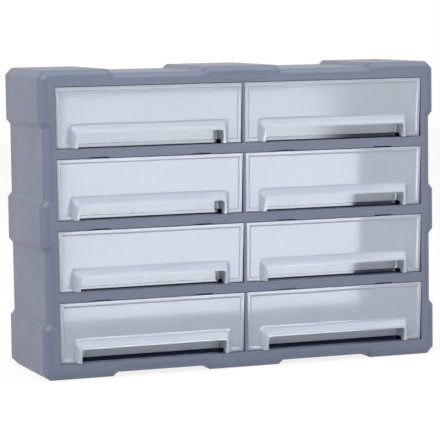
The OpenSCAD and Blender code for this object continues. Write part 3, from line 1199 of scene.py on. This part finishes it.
@dataclass
class Panels:
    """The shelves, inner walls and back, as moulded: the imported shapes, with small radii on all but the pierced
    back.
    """

    edge: float = 0.0003
    steps: int = 2
    weld: float = 1e-6
    flat_deg: float = 1.0
    whole: tuple[str, ...] = (
        "base_shelf",
        "lower_shelf",
        "middle_shelf",
        "upper_shelf",
        "ceiling_panel",
        "left_inner_wall",
        "right_inner_wall",
        "centre_wall",
    )
    pierced: tuple[str, ...] = ("back_panel",)

    def moulded(self, node: str) -> Object:
        """Copies a node's mesh, and merges the flat faces and softens the edges of one without holes.

        Args:
            node: The node.

        Returns:
            The piece.
        """
        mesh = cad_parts[node].data.copy()
        made = new_object(f"{node}_moulding", mesh)
        build = bmesh.new()
        build.from_mesh(mesh)
        bmesh.ops.remove_doubles(build, verts=build.verts, dist=self.weld)
        if node in self.whole:
            bmesh.ops.dissolve_limit(
                build,
                angle_limit=math.radians(self.flat_deg),
                verts=build.verts,
                edges=build.edges,
                use_dissolve_boundaries=False,
            )
        build.to_mesh(mesh)
        build.free()
        if node in self.whole:
            mesh.shade_smooth()
            mesh.set_sharp_from_angle(angle=math.radians(SHARP_DEG))
            soften_edges(made, self.edge, self.steps)
            flatten_shading(made)
        else:
            mesh.shade_flat()
        return made

    def build(self, finish: Material) -> None:
        """Builds and dresses every panel."""
        for node in (*self.whole, *self.pierced):
            dress(self.moulded(node), finish, Slot.PANELS, CABINET, node)


@dataclass
class BackScrews:
    """The pan-head screws that hold the back, with cross recesses."""

    case: OuterCase
    seat: float = 0.002
    head_r: float = 0.0032
    head_h: float = 0.0018
    head_skirt: float = 0.33
    crown_foot: float = 0.35
    crown: float = 0.65
    crown_degs: tuple[int, ...] = (15, 30, 45, 60, 75)
    shank_r: float = 0.00145
    tip_r: float = 0.0003
    length: float = 0.014
    recess: float = 0.0021
    recess_w: float = 0.0008
    recess_d: float = 0.0011
    recess_draft: float = 0.8
    proud: float = 0.001
    pitch: float = 0.0011
    thread: float = 0.00016
    thread_start: float = 0.0006
    thread_end: float = 0.002
    flats: int = 28
    smooth_deg: float = 40.0

    def section(self) -> list[Point]:
        """Returns the screw's section as radius and distance behind the back's face."""
        points = []
        for turn in map(math.radians, self.crown_degs):
            height = self.head_h * (self.crown_foot + self.crown * math.cos(turn))
            points.append((self.head_r * math.sin(turn), height))
        points += [(self.head_r, self.head_h * self.head_skirt), (self.head_r, 0.0), (self.shank_r, 0.0)]
        down = self.thread_start
        while down < self.length - self.thread_end:
            points += [(self.shank_r - self.thread, -down), (self.shank_r, -down - self.pitch / 2)]
            down += self.pitch
        return [*points, (self.shank_r - self.thread, -down), (self.tip_r, -self.length)]

    def screw(self) -> Object:
        """Builds one screw with its head towards +Y, and returns it."""
        shell, cuts = Shell(), []
        rings = [shell.upright(circle(radius, self.flats), y) for radius, y in self.section()]
        made = shell.solid("screw", rings)
        for across, up in ((self.recess, self.recess_w / 2), (self.recess_w / 2, self.recess)):
            cut = Shell()
            levels = ((1.0, self.head_h + self.proud), (self.recess_draft, self.head_h - self.recess_d))
            ends = [cut.upright(rectangle(-across * s, across * s, -up * s, up * s), y) for s, y in levels]
            cuts.append(cut.solid("recess", ends))
        combined(made, cuts, "DIFFERENCE")
        tidy_mesh(made.data, self.smooth_deg)
        return made

    def build(self, finish: Material, repeat: Repeat) -> None:
        """Sets a screw in every hole of the back, with the tree that repeats a part."""
        screws = repeat.make("back_screws_set", self.screw(), self.case.screw_spots(self.seat), finish)
        dress(screws, finish, Slot.SCREWS, CABINET, "back_screws")


# ---------------------------------------------------------------- drawers


def blended_min(first: float, second: float, reach: float) -> float:
    """Returns the lesser of two values, eased where they are closer than a reach."""
    near = max(reach - abs(first - second), 0.0) / reach
    return min(first, second) - near * near * reach / 4


def blended_max(first: float, second: float, reach: float) -> float:
    """Returns the greater of two values, eased where they are closer than a reach."""
    return -blended_min(-first, -second, reach)


def clamped(value: float, low: float, high: float) -> float:
    """Returns a value held between two others."""
    return min(max(value, low), high)


def spaced(stops: Sequence[Point]) -> list[float]:
    """Fills the gaps between stops with even steps.

    Args:
        stops: Places in rising order, each with the widest step up to the next place.

    Returns:
        All the places.
    """
    places = []
    for (here, step), (there, _) in zip(stops, stops[1:]):
        count = max(1, math.ceil((there - here) / step))
        places += [here + (there - here) * index / count for index in range(count)]
    return [*places, stops[-1][0]]


@dataclass
class Drawer:
    """One drawer about the middle of its foot, its face's top at depth 0: front, hood, pocket and tub.

    The grid sizes say how close the front's points lie and where they come closer. A joint is how far
    solids run into each other, and a hair keeps the points of a ring apart. The roof's places are
    counted in walls below the height where the hood meets the panel.
    """

    layout: Layout
    gap_side: float = 0.0003
    gap_top: float = 0.0005
    lean: float = 0.004
    taper: float = 0.0008
    wall: float = 0.0022
    edge: float = 0.0007
    edge_share: float = 0.98
    rim_w: float = 0.0035
    rim_h: float = 0.0012
    rim_slope: float = 0.0022
    rim_ease: float = 0.0012
    end_ease: float = 0.001
    hood_w: float = 0.190
    lip_out: float = 0.006
    lip_z: float = 0.0188
    hood_z: float = 0.0285
    hood_sunk: float = 0.001
    hood_slope: float = 0.0065
    hood_foot: float = 0.0006
    cheek_out: float = 0.0018
    hood_t: float = 0.0018
    hood_ease: float = 0.0026
    hood_corner: float = 0.0075
    grid_before: float = 0.002
    grid_past: float = 0.0012
    grid_over: float = 0.0015
    grid_rim: float = 0.0004
    grid_fine: float = 0.00035
    grid_lip: float = 0.0004
    grid_end: float = 0.0006
    grid_hood: float = 0.0007
    grid_foot: float = 0.0016
    grid_side: float = 0.004
    grid_coarse: float = 0.0065
    pocket_d: float = 0.015
    pocket_draft: float = 0.0012
    pocket_round: float = 0.0022
    pocket_flat: float = 0.0004
    pocket_front: float = 0.0007
    pocket_steps: int = 4
    round_share: float = 0.4
    roof_walls: float = 1.5
    roof_back: float = 0.0008
    roof_bends: tuple[Point, ...] = ((3.5, 0.0), (2.7, 0.0006), (2.3, 0.0024))
    mouth_round: float = 0.0042
    mouth_steps: int = 5
    skirt_gap: float = -0.0003
    tub_t: float = 0.0018
    tub_side: float = 0.0032
    tub_drop: float = 0.006
    tub_rise: float = 0.0046
    tub_back: float = 0.0095
    tub_round: float = 0.0035
    tub_foot: float = 0.002
    foot_steps: int = 4
    tub_front: float = 0.0006
    tub_inner_front: float = 0.0014
    tub_corner: float = 0.0015
    tub_steps: int = 8
    brim_w: float = 0.0014
    brim_h: float = 0.0024
    brim_roll: float = 0.4
    brim_degs: tuple[int, ...] = (-75, -45, -15, 15, 45, 75)
    brim_under: float = 0.0003
    runner_w: float = 0.003
    runner_x: float = 0.084
    runner_end: float = 0.026
    lug_x: float = 0.066
    lug_w: float = 0.019
    lug_h: float = 0.0032
    lug_gap: float = 0.00005
    small_edge: float = 0.0004
    joint: float = 0.001
    hair: float = 0.0001
    smooth_deg: float = 30.0

    @property
    def width(self) -> float:
        """Width of the front at its top."""
        return self.layout.window_w - 2 * self.gap_side

    @property
    def height(self) -> float:
        """Height of the front."""
        return self.layout.window_h - self.gap_top - self.layout.gap_under

    @property
    def tub_top(self) -> float:
        """Height of the tub's brim."""
        return self.height - self.tub_drop

    @property
    def tub_rear(self) -> float:
        """Depth of the brim's rear edge."""
        return self.layout.rear_y - self.layout.front_y - self.tub_back

    def face_y(self, z: float) -> float:
        """Depth of the leaning face at a height."""
        return self.lean * (1 - z / self.height)

    def half_front(self, z: float) -> float:
        """Half the width of the front at a height."""
        return self.width / 2 - self.taper * (1 - z / self.height)

    def rim_depth(self, x: float, z: float) -> float:
        """Finds how deep the rim, its slope, the panel and the rounded outer edge lie behind the face.

        Args:
            x: Distance from the middle.
            z: Height.

        Returns:
            The depth.
        """
        side = self.half_front(z) - abs(x)
        end = blended_min(z, self.height - z, self.end_ease)
        share = clamped((blended_min(side, end, self.rim_ease) - self.rim_w) / self.rim_slope, 0.0, 1.0)
        panel = self.rim_h * share * share * (3 - 2 * share)
        fall = clamped(self.edge - min(side, z, self.height - z), 0.0, self.edge)
        return panel + self.edge - math.sqrt(self.edge**2 - fall**2 * self.edge_share)

    def hood_y(self, x: float, z: float) -> float:
        """Finds the depth of the hood: its top and ends slope out to the lip, and its front falls back below.

        Args:
            x: Distance from the middle.
            z: Height.

        Returns:
            The depth.
        """
        root, reach = (self.face_y(at) + self.rim_h + self.hood_sunk for at in (self.hood_z, self.lip_z))
        top = -self.lip_out + (z - self.lip_z) / (self.hood_z - self.lip_z) * (root + self.lip_out)
        front = -self.cheek_out - (self.lip_out - self.cheek_out) * z / self.lip_z
        end = -self.lip_out + (abs(x) - self.hood_w / 2) * (reach + self.lip_out) / self.hood_slope
        return blended_max(blended_max(top, end, self.hood_corner), front, self.hood_ease)

    def surface_y(self, x: float, z: float) -> float:
        """Returns the depth of the front's outer surface at a place, with the hood eased into the face."""
        hood = self.hood_y(x, z) + self.hood_foot - min(z, self.hood_foot)
        return blended_min(self.face_y(z) + self.rim_depth(x, z), hood, self.hood_ease)

    def grid(self) -> tuple[list[float], list[float]]:
        """Spaces the front's points, closely where its surface bends.

        Returns:
            The places across and the heights.
        """
        half, fine, coarse, before = self.width / 2, self.grid_fine, self.grid_coarse, self.grid_before
        rim_end = self.rim_w + self.rim_slope + self.grid_rim
        hood_out = self.hood_w / 2 + self.hood_slope + self.grid_past
        stops = [(0, coarse), (self.hood_w / 2 - before, self.grid_end), (hood_out, self.grid_side)]
        right = spaced([*stops, (half - rim_end, fine), (half, fine)])
        stops = [(0.0, fine), (rim_end, self.grid_foot), (self.lip_z - before, self.grid_lip)]
        stops += [(self.lip_z + self.grid_over, self.grid_hood), (self.hood_z + before, coarse)]
        up = spaced([*stops, (self.height - rim_end, fine), (self.height, fine)])
        return [-x for x in reversed(right[1:])] + right, up

    def front(self) -> Object:
        """Builds the front with its rim and the solid hood, as one skin, and returns it."""
        across, up = self.grid()
        shell, rows = Shell(), []
        for z in up:
            share = self.half_front(z) / (self.width / 2)
            rows.append(shell.ring((x * share, self.surface_y(x * share, z), z) for x in across))
        for low, high in zip(rows, rows[1:]):
            for here in range(len(across) - 1):
                shell.faces.append((low[here], low[here + 1], high[here + 1], high[here]))
        edge = rows[0] + [row[-1] for row in rows[1:]] + rows[-1][-2::-1] + [row[0] for row in rows[-2:0:-1]]
        outline = [shell.points[number] for number in edge]
        back = shell.ring((point.x, self.face_y(point.z) + self.rim_h + self.wall, point.z) for point in outline)
        shell.band(edge, back)
        shell.fill(back)
        return shell.solid("drawer_front")

    def tub_loop(self, inwards: float, z: float, front: float) -> list[Point3]:
        """Finds the tub's outline at a height, seen from above.

        Args:
            inwards: How far it is drawn in from the tub's outer wall.
            z: Its height.
            front: Depth of its straight front behind the face.

        Returns:
            Points with rounded rear corners, the same number for every height.
        """
        half = self.layout.window_w / 2 - self.tub_side - inwards
        rear, radius = self.tub_rear - self.brim_w - inwards, max(self.tub_round - inwards, self.tub_corner)
        y = self.face_y(z) + front
        corner = [(half - radius * come, rear - radius * (1 - go)) for come, go in quarter(self.tub_steps)]
        loop = [(-half, y), (half, y), *corner, *[(-x, y) for x, y in reversed(corner)]]
        return [(x, y, z) for x, y in loop]

    def tub(self) -> Object:
        """Builds the open tub with its rolled edge and rounded foot, and returns it."""
        outer, inner = self.rim_h + self.tub_front, self.rim_h + self.tub_inner_front
        foot, roll, top, ease = self.tub_foot, self.brim_h / 2, self.tub_top, self.small_edge
        turns = quarter(self.foot_steps)
        section = [(foot * (1 - along), self.tub_rise + foot * down, outer) for down, along in turns]
        under = top - self.brim_h
        section += [(0.0, under - ease, outer), (-self.brim_under, under, outer)]
        for turn in map(math.radians, self.brim_degs):
            out = self.brim_w - roll * self.brim_roll * (1 - math.cos(turn))
            section.append((-out, top - roll + roll * math.sin(turn), outer))
        section += [(0.0, top, outer), (self.tub_t - ease, top, inner), (self.tub_t, top - ease, inner)]
        floor = self.tub_rise + self.tub_t
        section += [(self.tub_t + foot * down, floor + foot * (1 - along), inner) for down, along in turns]
        shell = Shell()
        return shell.solid("tub", [shell.ring(self.tub_loop(*place)) for place in section])

    def pocket_levels(self, grown: float, floor: float) -> list[Point3]:
        """Finds the pocket's section.

        Args:
            grown: Wall that the space is grown by.
            floor: Height that it starts at.

        Returns:
            Height, front and rear of each level.
        """
        deep, far, corner = self.pocket_d + grown, -2 * self.lip_out, self.mouth_round
        lip_y, lip_z = -self.lip_out + self.hood_t, self.lip_z - self.hood_t
        roof_y, under = self.face_y(self.hood_z) + self.rim_h, self.hood_z + grown
        roof_z = under - self.roof_walls * self.hood_t

        def slope(z: float, rear: float) -> Point3:
            """Returns a level under the hood's sloping roof."""
            return z, lip_y + (z - lip_z) / (roof_z - lip_z) * (roof_y - lip_y), rear

        levels = [(floor, far, deep)]
        levels += [(lip_z - corner * (1 - along), far, deep) for _, along in quarter(self.mouth_steps)]
        levels.append((lip_z, lip_y, deep))
        for walls, short in self.roof_bends:
            levels.append(slope(under - walls * self.hood_t, deep - short))
        levels.append(slope(roof_z - self.hair, roof_y + self.roof_back))
        if not grown:
            return levels
        start = self.rim_h + self.pocket_front
        return [(z, self.face_y(z) + start, rear) for z, _, rear in levels if z < lip_z - corner or z > lip_z]

    def pocket(self, grown: float, floor: float) -> Object:
        """Builds the space of the finger pocket, grown by a wall.

        Args:
            grown: Wall that the space is grown by.
            floor: Height that it starts at.

        Returns:
            The closed solid, its roof sloping back under the hood.
        """
        mouth, deep = self.hood_w / 2 - self.hood_t + grown, self.pocket_d + grown
        lip_z, corner = self.lip_z - self.hood_t, self.mouth_round
        shell, rings = Shell(), []
        for z, front, rear in self.pocket_levels(grown, floor):
            round_r = min(self.pocket_round + grown, self.round_share * (rear - front))
            kink = max(self.face_y(0) + self.pocket_flat, front + self.hair)
            kink = min(kink, rear - round_r - self.hair)
            rise = 0.0 if grown else clamped((z - lip_z) / corner + 1, 0.0, 1.0)
            wide = mouth - corner * (1 - math.sqrt(1 - rise * rise))
            half = wide - self.pocket_draft * (rear - kink) / (deep - self.face_y(0))
            loop = [(wide, front), (wide, kink)]
            turns = quarter(self.pocket_steps)
            loop += [(half - round_r * come, rear - round_r * (1 - go)) for come, go in turns]
            rings.append(shell.flat(loop + [(-x, y) for x, y in reversed(loop)], z))
        return shell.solid("pocket", rings)

    def bar(self, x: Point, y: Point, z: Point) -> Object:
        """Builds a straight bar with softened edges between two places on each axis, and returns it."""
        shell, outline, edge = Shell(), rectangle(*x, *z), self.small_edge
        small = offset_loop(outline, -edge)
        ends = [(small, y[0]), (outline, y[0] + edge), (outline, y[1] - edge), (small, y[1])]
        return shell.solid("bar", [shell.upright(loop, deep) for loop, deep in ends])

    def bars(self) -> list[Object]:
        """Builds the two runners and the two stop lugs, and returns them."""
        front, made = self.tub_rear - self.brim_w - self.tub_t, []
        lug_y = (front + self.lug_gap, front + self.tub_t - self.lug_gap)
        lug_z = (self.tub_top - self.brim_h, self.height + self.lug_h)
        ends, runner_z = (self.runner_end, self.tub_rear - self.runner_end), (0.0, self.tub_rise + self.joint)
        bars = ((self.runner_x, self.runner_w, ends, runner_z), (self.lug_x, self.lug_w, lug_y, lug_z))
        for side in (-1, 1):
            for middle, wide, y, z in bars:
                made.append(self.bar((side * middle - wide / 2, side * middle + wide / 2), y, z))
        return made

    def pattern(self) -> Mesh:
        """Builds the drawer that every window takes, and returns its mesh."""
        made = self.front()
        combined(made, [self.tub(), self.pocket(self.hood_t, self.tub_rise)], "UNION")
        combined(made, [self.pocket(0.0, -self.joint)], "DIFFERENCE")
        combined(made, self.bars(), "UNION")
        tidy_mesh(made.data, self.smooth_deg)
        return taken(made)

    def skirt(self) -> Mesh:
        """Builds the strip that carries the pocket's back wall down to the foot, a glossy sheet whose near-black
        finish paints the shade of the gap there, and returns its mesh.
        """
        half = self.hood_w / 2 - self.hood_t - self.pocket_draft
        heights = (self.skirt_gap, self.tub_rise + self.tub_front)
        return taken(self.bar((-half, half), (self.pocket_d, self.pocket_d + self.hood_t), heights))

    def build(self, finish: Material, clear: Material) -> list[Object]:
        """Sets a drawer in every window and dresses it.

        Args:
            finish: Plastic of the drawers.
            clear: Glossy near-black finish of the strips under the pockets, painted shade of the gap there.

        Returns:
            The pieces.
        """
        # The strip under each pocket takes the near-black finish that paints the gap's shade.
        patterns = {"moulding": (self.pattern(), finish), "skirt": (self.skirt(), clear)}
        pieces = []
        for row in Row:
            for column in Column:
                node = f"{row.name.lower()}_{column.name.lower()}_drawer"
                place = Vector((self.layout.middle_x(column), self.layout.front_y, self.layout.gap_under))
                place.z += self.layout.sill_z(row)
                for part, (pattern, surface) in patterns.items():
                    mesh = pattern.copy()
                    mesh.transform(Matrix.Translation(place))
                    made = new_object(f"{node}_{part}", mesh)
                    flatten_shading(made)
                    dress(made, surface, Slot.DRAWERS, node, node)
                    pieces.append(made)
        return pieces


# ---------------------------------------------------------------- studio and camera


@dataclass
class SoftBox:
    """A soft box that only the drawers mirror: a bright sheet with rounded corners."""

    low_left: Point3 = (-0.150, -0.350, -0.005)
    low_right: Point3 = (0.450, -0.3320, 0.0077)
    high_right: Point3 = (0.453, -0.3376, 0.3066)
    high_left: Point3 = (-0.1464, -0.3565, 0.301)
    corner: float = 0.012
    steps: int = 8
    strength: float = 7.2
    dim_strength: float = 0.45
    tint: Colour = (0.90, 0.96, 1.04)
    dim_from: float = 0.20
    dim_to: float = 0.278
    low_gain: float = 1.24
    low_dim_from: float = 0.274
    low_from: float = 0.255
    low_to: float = 0.225
    flag_margin: float = 0.45
    flag_gap: float = 0.012
    flag_near: float = -0.09
    flag_foot: float = 0.0005

    def sheet(self) -> Object:
        """Builds the bright sheet and returns it."""
        corners = [Vector(place) for place in (self.low_left, self.low_right, self.high_right, self.high_left)]
        loop = []
        for index, here in enumerate(corners):
            back = (corners[index - 1] - here).normalized()
            on = (corners[(index + 1) % 4] - here).normalized()
            for come, go in quarter(self.steps):
                loop.append(here + back * self.corner * (1 - go) + on * self.corner * come)
        mesh = new_mesh("soft_box", loop, [tuple(range(len(loop)))])
        mesh.materials.append(self.glow())
        return new_object("soft_box", mesh)

    def glow(self) -> Material:
        """Builds its light, dimmer towards its top and, up there, towards its right side, and returns it."""
        light = Paint("soft_box_light")
        axes = light.axes()
        low = light.spread(axes["Z"], "SMOOTHSTEP", from_min=self.low_from, from_max=self.low_to)
        start = light.math("MULTIPLY_ADD", low, self.low_dim_from - self.dim_from, self.dim_from)
        gain = light.math("MULTIPLY_ADD", low, self.low_gain - 1.0, 1.0)
        ends = {"from_min": start, "from_max": self.dim_to, "to_min": self.strength, "to_max": self.dim_strength}
        level = light.math("MULTIPLY", light.spread(axes["X"], "SMOOTHSTEP", **ends), gain)
        return light.show(light.add("ShaderNodeEmission", {"Color": self.tint, "Strength": level}))

    def flag(self) -> Object:
        """Builds the black board round the soft box, bent forward along the floor to the cabinet, and returns it."""
        low, high = Vector(self.low_left), Vector(self.high_right)
        left, right = low.x - self.flag_margin, high.x + self.flag_margin
        far, top = min(low.y, high.y) - self.flag_gap, high.z + self.flag_margin
        bends = [(self.flag_near, self.flag_foot), (far, self.flag_foot), (far, top)]
        points = [(x, y, z) for y, z in bends for x in (left, right)]
        mesh = new_mesh("flag", points, [(0, 1, 3, 2), (2, 3, 5, 4)])
        black = Paint("flag_black", {"Base Color": (0.0, 0.0, 0.0), "Specular IOR Level": 0.0})
        mesh.materials.append(black.material)
        return new_object("flag", mesh)

    def build(self, mirrors: Sequence[Object]) -> None:
        """Sets up the soft box.

        Args:
            mirrors: The pieces that mirror it.
        """
        sheet, flag = self.sheet(), self.flag()
        lit = bpy.data.collections.new("mirrors of the soft box")
        for piece in mirrors:
            lit.objects.link(piece)
        sheet.light_linking.receiver_collection = lit
        for board in (sheet, flag):
            board.visible_camera = board.visible_diffuse = board.visible_transmission = False
            board.visible_shadow = board.visible_volume_scatter = False


@dataclass(frozen=True)
class Lamp:
    """A soft rectangular lamp: its name, its place, its width and height, and its power in watts."""

    name: str
    place: Point3
    size: Point
    power: float

    def build(self, aim: Vector) -> None:
        """Adds the lamp.

        Args:
            aim: Where it points.
        """
        light = bpy.data.lights.new(self.name, "AREA")
        light.shape = "RECTANGLE"
        light.size, light.size_y = self.size
        light.energy = self.power
        lamp = bpy.data.objects.new(self.name, light)
        bpy.context.scene.collection.objects.link(lamp)
        lamp.location = self.place
        lamp.rotation_euler = (aim - Vector(self.place)).to_track_quat("-Z", "Y").to_euler()


@dataclass
class Studio:
    """White floor and surroundings with soft lamps."""

    layout: Layout
    floor_size: float = 9.0
    floor_colour: Colour = (0.74, 0.74, 0.75)
    shadow_colour: Colour = (0.17, 0.17, 0.17)
    white: Colour = (1.0, 1.0, 1.0)
    floor_glow: float = 0.84
    world_seen: float = 1.0
    world_light: float = 0.60
    lamps: tuple[Lamp, ...] = (
        Lamp("key", (-2.0, -1.1, 2.0), (1.4, 1.4), 42.0),
        Lamp("top", (0.8, -0.7, 2.6), (2.0, 1.4), 22.0),
        Lamp("fill", (0.9, -2.5, 0.35), (1.2, 0.6), 17.0),
    )

    def floor(self) -> None:
        """Builds the floor, which looks white but keeps the cabinet's shadow."""
        half = self.floor_size / 2
        mesh = new_mesh("floor", [(x, y, 0.0) for x, y in rectangle(-half, half, -half, half)], [(0, 1, 2, 3)])
        paper = Paint("floor_paper")
        plain = paper.add("ShaderNodeBsdfDiffuse", {"Color": self.floor_colour})
        shadow = paper.add("ShaderNodeBsdfDiffuse", {"Color": self.shadow_colour})
        glow = paper.add("ShaderNodeEmission", {"Color": self.white, "Strength": self.floor_glow})
        bright = paper.add("ShaderNodeAddShader", {0: shadow.outputs[0], 1: glow.outputs[0]})
        choice = paper.add("ShaderNodeMixShader", {0: paper.seen(), 1: plain.outputs[0], 2: bright.outputs[0]})
        mesh.materials.append(paper.show(choice))
        new_object("floor", mesh)

    def surroundings(self) -> None:
        """Builds the world: white where it is seen, dimmer where it lights."""
        world = bpy.data.worlds.new("studio")
        world.use_nodes = True
        bpy.context.scene.world = world
        sky = Wiring(world.node_tree)
        level = sky.spread(sky.seen(), to_min=self.world_light, to_max=self.world_seen)
        sky.feed(sky.tree.nodes["Background"], {"Color": self.white, "Strength": level})

    def build(self) -> None:
        """Builds the whole studio."""
        self.floor()
        self.surroundings()
        for lamp in self.lamps:
            lamp.build(Vector((0.0, 0.0, self.layout.height / 2)))


@dataclass(frozen=True)
class StudioCamera:
    """Camera at the photograph's viewing angle."""

    place: Point3 = (-1.00456, -2.66783, 0.45425)
    turn_deg: float = 20.529
    dip_deg: float = 5.528
    roll_deg: float = -0.799
    focal_px: float = 2260.3
    picture_px: float = 440.0
    film_mm: float = 36.0
    reach: float = 50.0

    def build(self) -> None:
        """Adds the camera and makes it the scene's."""
        turn, dip, roll = (math.radians(angle) for angle in (self.turn_deg, self.dip_deg, self.roll_deg))
        ahead = Vector((math.sin(turn) * math.cos(dip), math.cos(turn) * math.cos(dip), -math.sin(dip)))
        right = Vector((math.cos(turn), -math.sin(turn), 0.0))
        up = right.cross(ahead)
        rolled = right * math.cos(roll) + up * math.sin(roll)
        upright = up * math.cos(roll) - right * math.sin(roll)
        lens = bpy.data.cameras.new("studio_camera")
        lens.sensor_fit = "HORIZONTAL"
        lens.sensor_width = self.film_mm
        lens.lens = self.focal_px * self.film_mm / self.picture_px
        lens.clip_end = self.reach
        camera = bpy.data.objects.new("studio_camera", lens)
        bpy.context.scene.collection.objects.link(camera)
        axes = Matrix((rolled, upright, -ahead)).transposed().to_4x4()
        camera.matrix_world = Matrix.Translation(self.place) @ axes
        bpy.context.scene.camera = camera


# ---------------------------------------------------------------- the cabinet


def main() -> None:
    """Builds the dressed cabinet, the studio and the camera, in order."""
    logging.basicConfig(level=logging.INFO, format="%(message)s")
    groups = Groups()
    repeat, sweep = Repeat(), Sweep()
    layout = Layout.from_frame()
    outline = SteppedOutline(layout.width, layout.height)
    case = OuterCase(layout, outline)
    FrontFrame(layout, outline).build(FRAME_PLASTIC.build(groups))
    case.build(CASE_PLASTIC.build(groups), sweep, repeat)
    Panels().build(PANEL_PLASTIC.build(groups))
    BackScrews(case).build(SCREW_STEEL.build(groups), repeat)
    drawers = Drawer(layout).build(DRAWER_PLASTIC.build(groups), SKIRT_PAINTED_SHADE.build(groups))
    Studio(layout).build()
    SoftBox().build(drawers)
    StudioCamera().build()
    bpy.context.scene.view_settings.view_transform = "Standard"
    bpy.context.view_layer.update()


if __name__ == "__main__":
    main()
